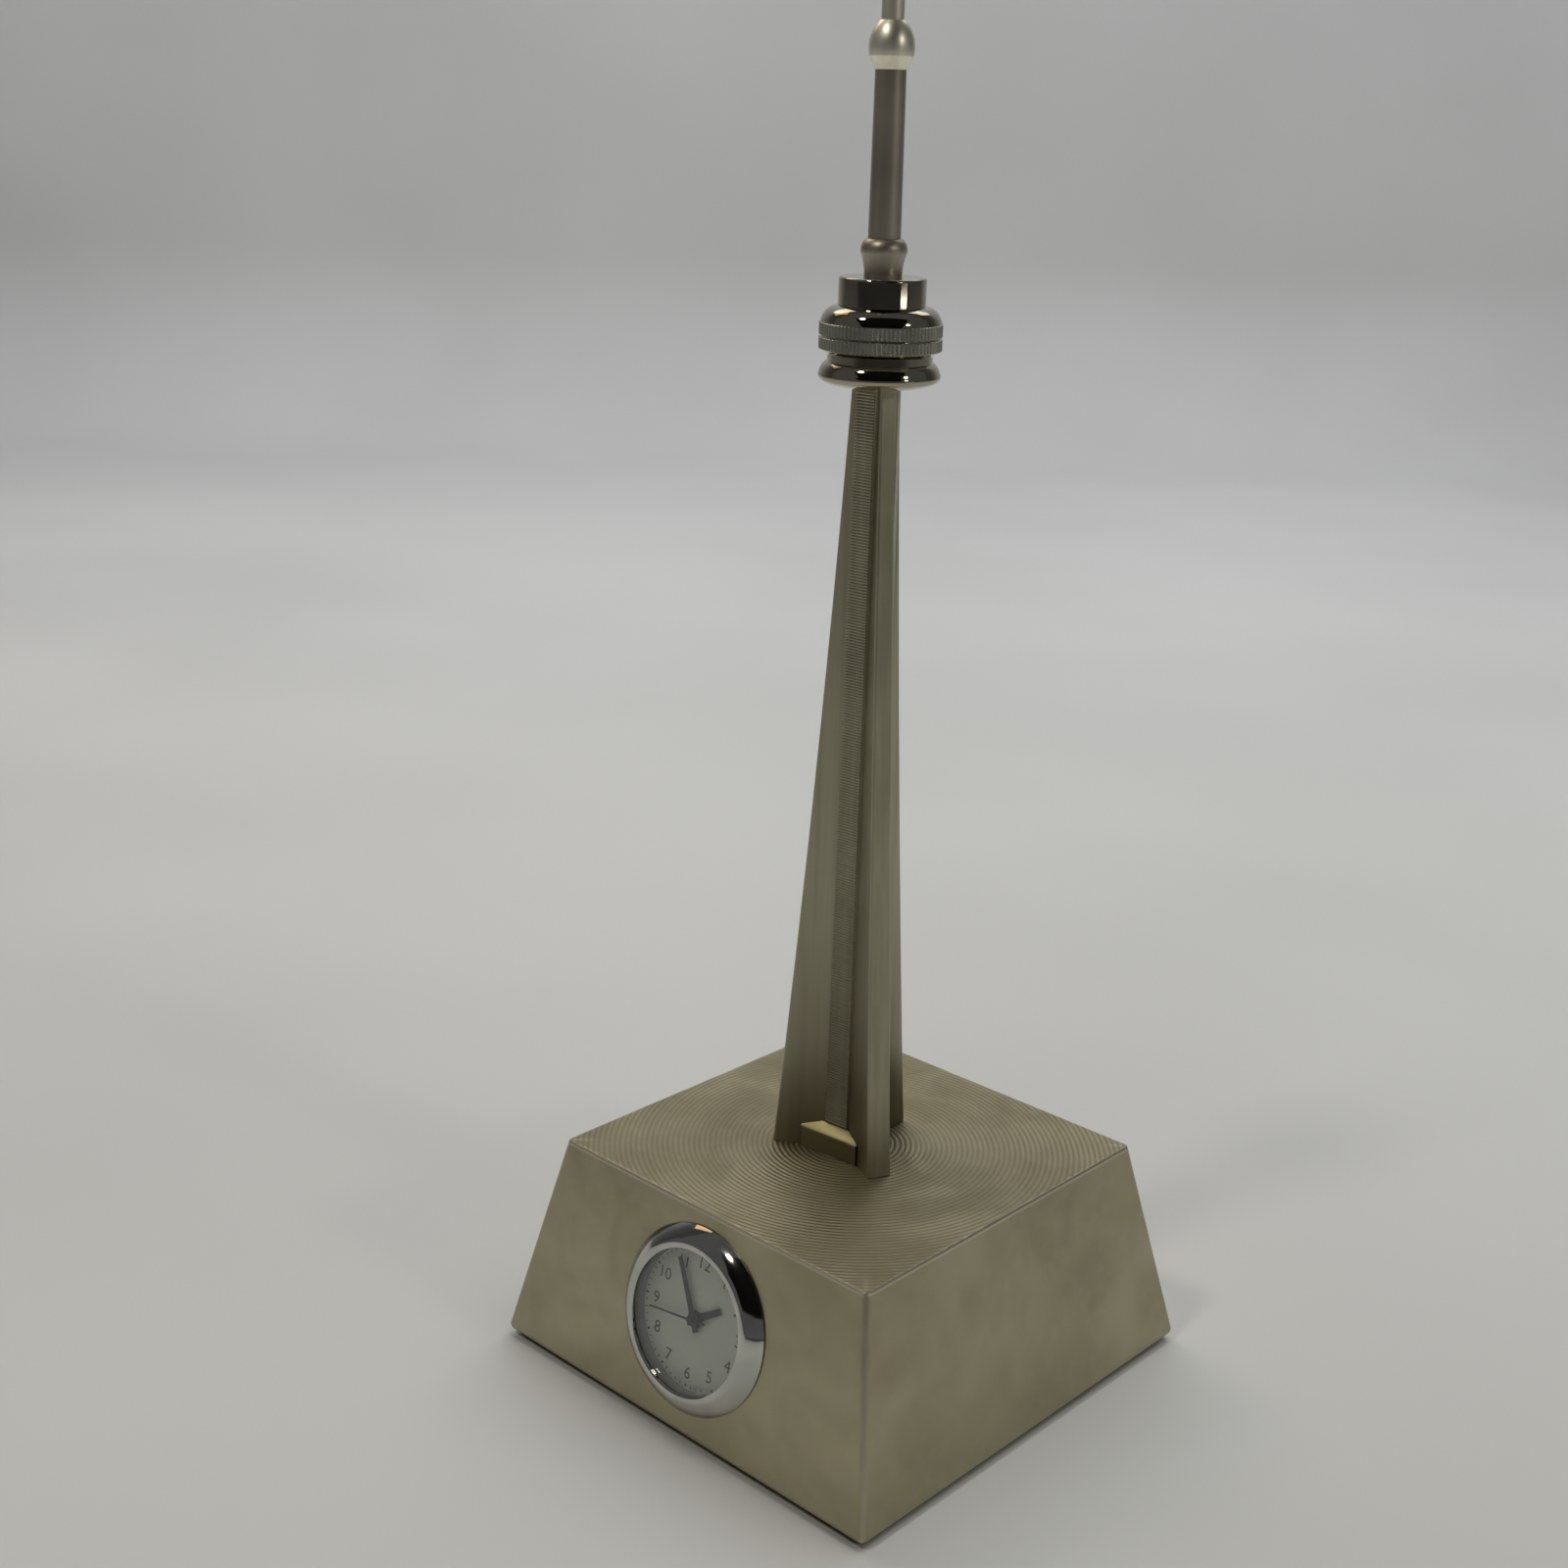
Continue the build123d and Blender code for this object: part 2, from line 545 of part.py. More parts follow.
with BuildPart() as hour_hand:
    with BuildSketch(CLOCK.offset(-0.6)):
        Polygon(*hand_outline(5.3, 1.6, 0.6, 0.46), rotation=-HOUR_ANGLE)
        Circle(1.3)
        Circle(0.56, mode=Mode.SUBTRACT)
    extrude(amount=0.15)

with BuildPart() as minute_hand:
    with BuildSketch(CLOCK.offset(-0.28)):
        Polygon(*hand_outline(8.9, 1.8, 0.5, 0.34), rotation=-MINUTE_ANGLE)
        Circle(1.05)
        Circle(0.33, mode=Mode.SUBTRACT)
    extrude(amount=0.15)

with BuildPart() as seconds_hand:
    with BuildSketch(CLOCK.offset(0.07)):
        Polygon(*hand_outline(8.4, 2.6, 0.17, 0.12), rotation=-SECONDS_ANGLE)
        Circle(0.55)
    extrude(amount=0.1)
    with BuildSketch(CLOCK.offset(-0.05)):
        Circle(0.3)
    extrude(amount=0.35)
    with BuildSketch(CLOCK.offset(-0.05)):
        Circle(PIVOT + 0.01)
    extrude(amount=0.25, mode=Mode.SUBTRACT)


# ================================================================== gear train
def gear_outline(teeth, module, tooth_angle):
    """Straight-sided teeth, thin enough for free running, with one tooth at tooth_angle."""
    pitch = 360 / teeth
    root = module * (teeth / 2 - 1.15)
    tip = module * (teeth / 2 + 0.8)
    points = []
    for index in range(teeth):
        middle = tooth_angle + index * pitch
        points.append(polar(root, middle - 0.28 * pitch))
        points.append(polar(tip, middle - 0.11 * pitch))
        points.append(polar(tip, middle + 0.11 * pitch))
        points.append(polar(root, middle + 0.28 * pitch))
    return points


def geared(centre, gears, discs, bore=0, bore_rear=0):
    """A wheel on its arbor. gears: (teeth, module, tooth angle, rear, front). discs: (radius, rear, front)."""
    with BuildPart() as wheel:
        for teeth, module, tooth_angle, rear, front in gears:
            with BuildSketch(CLOCK.offset(rear)):
                with Locations(centre):
                    Polygon(*gear_outline(teeth, module, tooth_angle))
            extrude(amount=front - rear)
        for radius, rear, front in discs:
            with BuildSketch(CLOCK.offset(rear)):
                with Locations(centre):
                    Circle(radius)
            extrude(amount=front - rear)
        if bore:
            with BuildSketch(CLOCK.offset(bore_rear)):
                with Locations(centre):
                    Circle(bore)
            extrude(amount=-bore_rear + 1, mode=Mode.SUBTRACT)
    return wheel


THIRD_RATIO = 60, 8, 0.09              # third wheel, seconds pinion and their module
CENTRE_RATIO = 64, 8, 0.085            # centre wheel, third pinion
MINUTE_RATIO = 36, 12, 0.125           # minute wheel, cannon pinion
HOUR_RATIO = 40, 10, 0.12              # hour wheel, minute pinion
SECONDS_RATIO = 40, 8, 0.13            # seconds wheel, intermediate pinion
ROTOR_RATIO = 48, 8, 0.08              # intermediate wheel, rotor pinion

third_centre = polar(*THIRD_AT)
minute_wheel_centre = polar(*MINUTE_WHEEL_AT)
intermediate_centre = polar(*INTERMEDIATE_AT)
rotor_centre = tuple(a + b for a, b in zip(intermediate_centre, polar(*ROTOR_STEP)))


def gap_angle(direction, teeth):
    """Tooth angle of a gear that meets the tooth of another one lying back along direction."""
    return direction + 180 + 180 / teeth


seconds_wheel = geared(
    (0, 0),
    [
        (SECONDS_RATIO[0], SECONDS_RATIO[2], INTERMEDIATE_AT[1], -4.0, -3.85),
        (THIRD_RATIO[1], THIRD_RATIO[2], THIRD_AT[1], -3.75, -3.35),
    ],
    [(0.3, -3.85, -3.75), (PIVOT, -4.45, 0.15)],
)
third_wheel = geared(
    third_centre,
    [
        (THIRD_RATIO[0], THIRD_RATIO[2], gap_angle(THIRD_AT[1], THIRD_RATIO[0]), -3.62, -3.47),
        (CENTRE_RATIO[1], CENTRE_RATIO[2], THIRD_AT[1] + 180, -3.35, -2.85),
    ],
    [(0.22, -3.47, -3.35), (PIVOT, -4.45, -2.1)],
)
centre_wheel = geared(
    (0, 0),
    [
        (CENTRE_RATIO[0], CENTRE_RATIO[2], THIRD_AT[1] + 180 / CENTRE_RATIO[0], -3.1, -2.95),
        (MINUTE_RATIO[1], MINUTE_RATIO[2], MINUTE_WHEEL_AT[1], -1.95, -1.62),
    ],
    [(0.32, -3.15, -0.12)],
    bore=PIVOT + 0.04,
    bore_rear=-3.2,
)
minute_wheel = geared(
    minute_wheel_centre,
    [
        (MINUTE_RATIO[0], MINUTE_RATIO[2], gap_angle(MINUTE_WHEEL_AT[1], MINUTE_RATIO[0]), -1.93, -1.75),
        (HOUR_RATIO[1], HOUR_RATIO[2], MINUTE_WHEEL_AT[1] + 180, -1.7, -1.36),
    ],
    [(0.4, -1.75, -1.7), (PIVOT, -2.65, -1.93)],
)
hour_wheel = geared(
    (0, 0),
    [(HOUR_RATIO[0], HOUR_RATIO[2], MINUTE_WHEEL_AT[1] + 180 / HOUR_RATIO[0], -1.56, -1.4)],
    [(0.55, -1.56, -0.44)],
    bore=0.37,
    bore_rear=-1.6,
)
intermediate_wheel = geared(
    intermediate_centre,
    [
        (SECONDS_RATIO[1], SECONDS_RATIO[2], gap_angle(INTERMEDIATE_AT[1], SECONDS_RATIO[1]), -4.1, -3.75),
        (ROTOR_RATIO[0], ROTOR_RATIO[2], ROTOR_STEP[1], -3.32, -3.17),
    ],
    [(0.3, -3.75, -3.32), (PIVOT, -4.45, -2.1)],
)
rotor = geared(
    rotor_centre,
    [(ROTOR_RATIO[1], ROTOR_RATIO[2], gap_angle(ROTOR_STEP[1], ROTOR_RATIO[1]), -3.4, -3.05)],
    [(MAGNET_RADIUS, -4.1, -3.6), (0.22, -3.6, -3.4), (PIVOT, -4.45, -2.1)],
)


# ================================================================== movement
with BuildPart() as movement_ring:
    with BuildSketch(CLOCK.offset(RING_REAR)):
        Circle(RING_RADII[1])
        Circle(RING_RADII[0], mode=Mode.SUBTRACT)
        with Locations((block_start + 2, 0)):
            Rectangle(4.4, 2 * (POCKET_HALF + POCKET_WALL) + 0.3, mode=Mode.SUBTRACT)
    extrude(amount=DIAL_LEVELS[0] - RING_REAR)

with BuildPart() as main_plate:
    with BuildSketch(CLOCK.offset(PLATE_LEVELS[0])):
        Circle(PLATE_RADIUS)
        with Locations((PLATE_FLAT - PLATE_RADIUS, 0)):
            Rectangle(2 * PLATE_RADIUS, 2 * PLATE_RADIUS, mode=Mode.INTERSECT)
        Circle(0.37, mode=Mode.SUBTRACT)
        with Locations(third_centre, intermediate_centre, rotor_centre, minute_wheel_centre):
            Circle(PIVOT + PIVOT_GAP, mode=Mode.SUBTRACT)
        with Locations(*DIAL_FEET):
            Circle(DIAL_FOOT_RADIUS + THREAD_GAP, mode=Mode.SUBTRACT)
    extrude(amount=PLATE_LEVELS[1] - PLATE_LEVELS[0])
    # pillars for the train bridge, posts for the board, and the block that guides the stem
    with BuildSketch(CLOCK.offset(BRIDGE_LEVELS[1])):
        with Locations(*PILLARS):
            Circle(PILLAR_RADIUS)
    extrude(amount=PLATE_LEVELS[0] - BRIDGE_LEVELS[1])
    with BuildSketch(CLOCK.offset(BRIDGE_LEVELS[1])):
        with Locations(*PILLARS):
            Circle(BRIDGE_SCREW_RADIUS + THREAD_GAP)
    extrude(amount=1.3, mode=Mode.SUBTRACT)
    with BuildSketch(CLOCK.offset(BOARD_LEVELS[1])):
        with Locations(*BOARD_POSTS):
            Circle(BOARD_POST_RADIUS)
    extrude(amount=PLATE_LEVELS[0] - BOARD_LEVELS[1])
    with BuildSketch(CLOCK.offset(BRIDGE_LEVELS[1])):
        with Locations((PLATE_FLAT - 0.5, 0)):
            Rectangle(1.0, 2.4)
    extrude(amount=PLATE_LEVELS[0] - BRIDGE_LEVELS[1])
    with BuildSketch(stem_plane(PLATE_FLAT - 1.2)):
        Circle(STEM_RADIUS + 0.05)
    extrude(amount=1.4, mode=Mode.SUBTRACT)

with BuildPart() as train_bridge:
    with BuildSketch(CLOCK.offset(BRIDGE_LEVELS[0])):
        for end in (*PILLARS, third_centre, rotor_centre):
            with Locations((end[0] / 2, end[1] / 2)):
                SlotCenterToCenter(hypot(*end), 1.8, rotation=degrees(atan2(end[1], end[0])))
        with Locations((0, 0), third_centre, intermediate_centre, rotor_centre):
            Circle(PIVOT + PIVOT_GAP, mode=Mode.SUBTRACT)
        with Locations(*PILLARS):
            Circle(BRIDGE_SCREW_RADIUS + THREAD_GAP, mode=Mode.SUBTRACT)
    extrude(amount=BRIDGE_LEVELS[1] - BRIDGE_LEVELS[0])

with BuildPart() as bridge_screws:
    with BuildSketch(CLOCK.offset(BRIDGE_LEVELS[0] - 0.25)):
        with Locations(*PILLARS):
            Circle(BRIDGE_SCREW_HEAD)
            Rectangle(2 * BRIDGE_SCREW_HEAD + 0.2, 0.2, mode=Mode.SUBTRACT)
    extrude(amount=0.12)
    with BuildSketch(CLOCK.offset(BRIDGE_LEVELS[0] - 0.13)):
        with Locations(*PILLARS):
            Circle(BRIDGE_SCREW_HEAD)
    extrude(amount=0.13)
    with BuildSketch(CLOCK.offset(BRIDGE_LEVELS[0])):
        with Locations(*PILLARS):
            Circle(BRIDGE_SCREW_RADIUS)
    extrude(amount=1.4)

with BuildPart() as stator:
    with BuildSketch(CLOCK.offset(STATOR_LEVELS[0])):
        with Locations((0, STATOR_V)):
            Rectangle(2 * STATOR_HALF + STATOR_WIDTH, STATOR_WIDTH)
        with Locations(*[(side * STATOR_HALF, (STATOR_V + COIL_V) / 2) for side in (-1, 1)]):
            Rectangle(STATOR_WIDTH, COIL_V - STATOR_V + 0.8)
        with Locations(rotor_centre):
            Circle(ROTOR_HOLE + 0.45)
            Circle(ROTOR_HOLE, mode=Mode.SUBTRACT)
    extrude(amount=STATOR_LEVELS[1] - STATOR_LEVELS[0])

with BuildPart() as coil:
    with BuildSketch(CLOCK.offset(STATOR_LEVELS[1])):
        with Locations((0, COIL_V)):
            Rectangle(2 * STATOR_HALF + 1.0, 1.1)
    extrude(amount=0.4)
    winding = Plane(origin=CLOCK.from_local_coords((-3.6, COIL_V, COIL_LEVEL)), z_dir=CLOCK.x_dir)
    with BuildSketch(winding):
        Circle(0.8)
    extrude(amount=7.2)
    with BuildSketch(winding, winding.offset(7.2)):
        Circle(0.84)
    extrude(amount=0.25, both=True)

with BuildPart() as circuit_board:
    with BuildSketch(CLOCK.offset(BOARD_LEVELS[0])):
        with Locations((4.8, -5.6)):
            Rectangle(5.4, 6.4)
        Circle(9.8, mode=Mode.INTERSECT)
    extrude(amount=BOARD_LEVELS[1] - BOARD_LEVELS[0])
    with BuildSketch(CLOCK.offset(BOARD_LEVELS[1])):
        with Locations((3.4, -5.6)):
            Rectangle(1.8, 1.8)
    extrude(amount=0.35)

with BuildPart() as quartz_can:
    can_end = Plane(origin=CLOCK.from_local_coords((6.25, -2.4, BOARD_LEVELS[1] + CAN_RADIUS)), z_dir=-CLOCK.y_dir)
    with BuildSketch(can_end):
        Circle(CAN_RADIUS)
    extrude(amount=4.4)
    fillet(quartz_can.edges(), 0.15)

with BuildPart() as button_cell:
    with BuildSketch(CLOCK.offset(CELL_LEVELS[0])):
        with Locations(CELL_AT):
            Circle(CELL_RADIUS)
    extrude(amount=1.75)
    with BuildSketch(CLOCK.offset(CELL_LEVELS[0])):
        with Locations(CELL_AT):
            Circle(CELL_RADIUS - 0.45)
    extrude(amount=CELL_LEVELS[1] - CELL_LEVELS[0])
    fillet(button_cell.edges().group_by(CLOCK_AXIS)[0], 0.2)

with BuildPart() as cell_strap:
    with BuildSketch(CLOCK.offset(CELL_LEVELS[0] - 0.12)):
        with Locations((CELL_AT[0] + 0.9, CELL_AT[1])):
            SlotOverall(8.2, 1.8, rotation=-12)
    extrude(amount=0.12)
    # foot on the head of the bridge screw beside the cell
    with BuildSketch(CLOCK.offset(CELL_LEVELS[0])):
        with Locations(PILLARS[2]):
            Circle(BRIDGE_SCREW_HEAD - 0.1)
    extrude(amount=0.1)


# ================================================================== time setting
with BuildPart() as stem:
    for radius, start, end in ((STEM_RADIUS, 5.6, 5.9), (STEM_NECK, 5.9, 6.3), (STEM_RADIUS, 6.3, 9.5)):
        with BuildSketch(stem_plane(start)):
            Circle(radius)
        extrude(amount=end - start)

with BuildPart() as crown:
    with BuildSketch(stem_plane(9.35)):
        Circle(CROWN_RADIUS)
        with PolarLocations(CROWN_RADIUS, 18):
            Circle(0.09, mode=Mode.SUBTRACT)
    extrude(amount=1.5)
    with BuildSketch(stem_plane(9.35)):
        Circle(STEM_RADIUS)
    extrude(amount=0.15, mode=Mode.SUBTRACT)

with BuildPart() as setting_lever:
    with BuildSketch(stem_plane(5.97)):
        Rectangle(1.6, 1.2)
        with Locations((0, -0.3)):
            Rectangle(0.6, 0.6, mode=Mode.SUBTRACT)
        Circle(0.3, mode=Mode.SUBTRACT)
    extrude(amount=0.26)


# ================================================================== files
PIECES = {
    "base_shell": base_shell,
    "bottom_plate": bottom_plate,
    "plate_screws": plate_screws,
    "felt_pad": felt_pad,
    "tower_screw": tower_screw,
    "tower_washer": tower_washer,
    "tower_shaft": tower_shaft,
    "entrance_pavilion": entrance_pavilion,
    "pod_flange": pod_flange,
    "pod_drum": pod_drum,
    "pod_tier": pod_tier,
    "mast_collar": mast_collar,
    "mast": mast,
    "sky_pod": sky_pod,
    "antenna": antenna,
    "bezel": bezel,
    "crystal": crystal,
    "dial_ring": dial_ring,
    "dial": dial,
    "clock_case": clock_case,
    "gasket": gasket,
    "case_back": case_back,
    "hour_hand": hour_hand,
    "minute_hand": minute_hand,
    "seconds_hand": seconds_hand,
    "seconds_wheel": seconds_wheel,
    "third_wheel": third_wheel,
    "centre_wheel": centre_wheel,
    "minute_wheel": minute_wheel,
    "hour_wheel": hour_wheel,
    "intermediate_wheel": intermediate_wheel,
    "rotor": rotor,
    "movement_ring": movement_ring,
    "main_plate": main_plate,
    "train_bridge": train_bridge,
    "bridge_screws": bridge_screws,
    "stator": stator,
    "coil": coil,
    "circuit_board": circuit_board,
    "quartz_can": quartz_can,
    "button_cell": button_cell,
    "cell_strap": cell_strap,
    "stem": stem,
    "crown": crown,
    "setting_lever": setting_lever,
}

os.makedirs("parts", exist_ok=True)
for piece_name, piece in PIECES.items():
    piece.part.label = piece_name
    export_step(piece.part, f"parts/{piece_name}.step")
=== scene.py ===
"""Looks of the tower desk clock: camera, lights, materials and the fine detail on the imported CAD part.

Lengths are in metres unless a name ends in _MM or _mm. The frame is the CAD frame: +Z up the tower,
the clock on the -Y face. Every made piece rides on a CAD body, so it follows that body in every pose.
"""

import json
import math

import bpy
from mathutils import Matrix, Vector


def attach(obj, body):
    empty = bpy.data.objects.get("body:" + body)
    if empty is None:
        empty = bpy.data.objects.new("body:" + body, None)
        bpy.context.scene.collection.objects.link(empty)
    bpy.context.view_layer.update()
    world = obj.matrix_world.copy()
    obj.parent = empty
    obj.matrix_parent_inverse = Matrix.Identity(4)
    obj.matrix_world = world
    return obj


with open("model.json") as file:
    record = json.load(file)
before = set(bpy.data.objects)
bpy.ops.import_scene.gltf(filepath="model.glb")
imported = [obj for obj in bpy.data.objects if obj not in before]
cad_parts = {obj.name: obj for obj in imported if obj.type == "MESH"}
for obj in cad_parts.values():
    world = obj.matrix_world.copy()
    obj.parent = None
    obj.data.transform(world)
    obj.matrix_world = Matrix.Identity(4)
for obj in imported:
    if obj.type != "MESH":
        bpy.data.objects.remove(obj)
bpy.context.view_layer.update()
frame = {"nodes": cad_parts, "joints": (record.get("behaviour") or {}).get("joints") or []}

MM = 0.001

# ------------------------------------------------------------------ camera
CAMERA_AT = Vector((0.1829, -0.2115, 0.1788))
CAMERA_YAW = math.radians(43.13)      # from +Y towards -X
CAMERA_PITCH = math.radians(17.91)    # below the horizon
CAMERA_ROLL = math.radians(1.51)
CAMERA_LENS_MM = 48.1
CAMERA_SENSOR_MM = 36.0

forward = Vector(
    (
        -math.sin(CAMERA_YAW) * math.cos(CAMERA_PITCH),
        math.cos(CAMERA_YAW) * math.cos(CAMERA_PITCH),
        -math.sin(CAMERA_PITCH),
    )
)
level_right = Vector((math.cos(CAMERA_YAW), math.sin(CAMERA_YAW), 0))
level_up = level_right.cross(forward)
camera_right = math.cos(CAMERA_ROLL) * level_right + math.sin(CAMERA_ROLL) * level_up
camera_up = math.cos(CAMERA_ROLL) * level_up - math.sin(CAMERA_ROLL) * level_right

camera_data = bpy.data.cameras.new("camera")
camera_data.lens = CAMERA_LENS_MM
camera_data.sensor_width = CAMERA_SENSOR_MM
camera_data.clip_start = 0.01
camera_data.clip_end = 50
camera = bpy.data.objects.new("camera", camera_data)
camera.matrix_world = Matrix.Translation(CAMERA_AT) @ Matrix(
    (camera_right, camera_up, -forward)
).transposed().to_4x4()
bpy.context.collection.objects.link(camera)
bpy.context.scene.camera = camera
bpy.context.scene.view_settings.view_transform = "Standard"


# ------------------------------------------------------------------ node helpers
def node(tree, kind, inputs=None, **settings):
    """Adds a node. inputs maps a socket's name or number to a value, or to another node's output."""
    made = tree.nodes.new(kind)
    for key, value in settings.items():
        setattr(made, key, value)
    for key, value in (inputs or {}).items():
        if isinstance(value, bpy.types.NodeSocket):
            tree.links.new(value, made.inputs[key])
        else:
            made.inputs[key].default_value = value
    return made


def maths(tree, operation, a, b=0.0):
    return node(tree, "ShaderNodeMath", {0: a, 1: b}, operation=operation).outputs[0]


def spread(tree, value, low, high, to_low=0.0, to_high=1.0):
    """value's stretch from low to high, mapped smoothly to to_low and to_high and held outside it."""
    inputs = {"Value": value, "From Min": low, "From Max": high, "To Min": to_low, "To Max": to_high}
    return node(tree, "ShaderNodeMapRange", inputs, interpolation_type="SMOOTHSTEP").outputs[0]


def tint(tree, factor, a, b):
    """Colour a where factor is 0, b where it is 1."""
    a, b = ((*c, 1) if isinstance(c, tuple) else c for c in (a, b))
    inputs = {0: factor, 6: a, 7: b}
    return node(tree, "ShaderNodeMix", inputs, data_type="RGBA").outputs[2]


def noise(tree, where, scale, detail=2.0, distortion=0.0):
    inputs = {"Vector": where, "Scale": scale, "Detail": detail, "Distortion": distortion}
    return node(tree, "ShaderNodeTexNoise", inputs).outputs[0]


def stretched(tree, where, scales):
    return node(tree, "ShaderNodeMapping", {"Vector": where, "Scale": scales}).outputs[0]


def distance_from_z(tree, position):
    """How far a position is from its own Z axis."""
    parts = node(tree, "ShaderNodeSeparateXYZ", {0: position}).outputs
    flat = node(tree, "ShaderNodeCombineXYZ", {0: parts[0], 1: parts[1]}).outputs[0]
    return node(tree, "ShaderNodeVectorMath", {0: flat}, operation="LENGTH").outputs["Value"]


def shades(colour, *factors):
    """The same colour, darker or lighter by each factor."""
    return [tuple(min(1.0, channel * factor) for channel in colour) for factor in factors]


def material(name, colour, metallic=0.0, roughness=0.5, **sockets):
    """A Principled material, and what its nodes are built with: the tree, the shader and the position."""
    made = bpy.data.materials.new(name)
    made.use_nodes = True
    tree = made.node_tree
    shader = tree.nodes["Principled BSDF"]
    shader.inputs["Base Color"].default_value = (*colour, 1)
    shader.inputs["Metallic"].default_value = metallic
    shader.inputs["Roughness"].default_value = roughness
    for key, value in sockets.items():
        shader.inputs[key.replace("_", " ")].default_value = value
    where = node(tree, "ShaderNodeTexCoord").outputs["Object"]
    return made, tree, shader, where


def plug(tree, value, shader, socket):
    tree.links.new(value, shader.inputs[socket])


def relief(tree, shader, height, depth_mm, strength=1.0):
    """Bump from height, which runs from 0 to 1, over depth_mm."""
    inputs = {"Height": height, "Distance": depth_mm * MM, "Strength": strength}
    plug(tree, node(tree, "ShaderNodeBump", inputs).outputs[0], shader, "Normal")


# ------------------------------------------------------------------ materials
CHAMPAGNE = (0.425, 0.39, 0.262)
PLINTH_TOP = 33 * MM
FACE_LEAN = 0.2073
FLOOR_SIDE = 72.8 * MM
TOP_HALF = FLOOR_SIDE / 2 - PLINTH_TOP * FACE_LEAN
VALLEY_DEPTHS = (0.02 * MM, 0.1 * MM)  # below the ridges of the turned rings: where the painted shade starts, is full
PAINTED_SHADE_RADII = (7.5 * MM, 10.8 * MM)    # painted shade is full inside the first, gone outside the second
PAINTED_SHADE_HEIGHT = 50 * MM                 # above the plinth's top, where the painted shade ends
ROOF_LEVELS = (3.1 * MM, 3.6 * MM)     # above the plinth's top, where the painted light changes from the shaded walls to the lit roof


def plinth_metal():
    """Satin champagne plate over a casting: cloudy patches, fine grain, edges painted lighter as partly
    wear and partly painted highlight, and painted shade in the turned rings of the top.
    """
    made, tree, shader, where = material("plinth_champagne", CHAMPAGNE, metallic=1.0, roughness=0.42)
    dark, light = shades(CHAMPAGNE, 0.9, 1.08)
    clouds = spread(tree, noise(tree, where, 32, 3.0, 0.6), 0.3, 0.72)
    flecks = spread(tree, noise(tree, where, 420, 4.0), 0.45, 0.72)
    plated = tint(tree, clouds, dark, light)
    plated = tint(tree, maths(tree, "MULTIPLY", flecks, 0.2), plated, (0.50, 0.455, 0.34))

    # the four slanting edges, where |x| and |y| meet, painted lighter: partly wear and partly a painted
    # highlight
    parts = node(tree, "ShaderNodeSeparateXYZ", {0: where}).outputs
    across = maths(tree, "ABSOLUTE", parts[0])
    along = maths(tree, "ABSOLUTE", parts[1])
    beside_edge = maths(tree, "ABSOLUTE", maths(tree, "SUBTRACT", across, along))
    ragged = maths(tree, "MULTIPLY", noise(tree, where, 260, 3.0), 0.9 * MM)
    wear_and_highlight = spread(tree, maths(tree, "ADD", beside_edge, ragged), 0.5 * MM, 1.3 * MM, 1.0, 0.0)
    away_from_middle = spread(tree, maths(tree, "MAXIMUM", across, along), 26 * MM, 28 * MM)
    wear_and_highlight = maths(tree, "MULTIPLY", wear_and_highlight, away_from_middle)
    plated = tint(tree, maths(tree, "MULTIPLY", wear_and_highlight, 0.55), plated, (0.56, 0.52, 0.41))
    # the four edges of the top, painted lighter: partly rubbed wear and partly a painted highlight where
    # the rounded edge catches light
    outermost = maths(tree, "MAXIMUM", across, along)
    beside_rim = maths(tree, "ABSOLUTE", maths(tree, "SUBTRACT", outermost, TOP_HALF))
    beside_rim = maths(tree, "ADD", beside_rim, maths(tree, "MULTIPLY", ragged, 0.4))
    rim = spread(tree, beside_rim, 0.3 * MM, 0.7 * MM, 1.0, 0.0)
    rim = maths(tree, "MULTIPLY", rim, spread(tree, parts[2], PLINTH_TOP - 0.7 * MM, PLINTH_TOP - 0.4 * MM))
    plated = tint(tree, maths(tree, "MULTIPLY", rim, 0.7), plated, (0.72, 0.67, 0.53))
    # painted shade in the turned rings of the top, which stand a little lower than the ridges
    depth = maths(tree, "SUBTRACT", PLINTH_TOP, parts[2])
    valley = spread(tree, depth, *VALLEY_DEPTHS)
    valley = maths(tree, "MULTIPLY", valley, spread(tree, depth, 0.16 * MM, 0.2 * MM, 1.0, 0.0))
    plated = tint(tree, maths(tree, "MULTIPLY", valley, 0.42), plated, (0.2, 0.185, 0.14))
    plug(tree, plated, shader, "Base Color")

    smears = spread(tree, noise(tree, where, 85, 5.0, 1.2), 0.3, 0.75, 0.36, 0.5)
    rough = maths(tree, "SUBTRACT", smears, maths(tree, "MULTIPLY", wear_and_highlight, 0.08))
    # the turned top is duller than the sides
    on_top = spread(tree, parts[2], PLINTH_TOP - 0.4 * MM, PLINTH_TOP - 0.2 * MM)
    rough = maths(tree, "ADD", rough, maths(tree, "MULTIPLY", on_top, 0.16))
    plug(tree, rough, shader, "Roughness")
    grain = noise(tree, where, 3600, 2.0)
    pits = spread(tree, noise(tree, where, 900, 1.0), 0.66, 0.74, 1.0, 0.0)
    height = maths(tree, "ADD", maths(tree, "MULTIPLY", grain, 0.35), maths(tree, "MULTIPLY", pits, 0.65))
    relief(tree, shader, height, 0.012, 0.6)
    return made


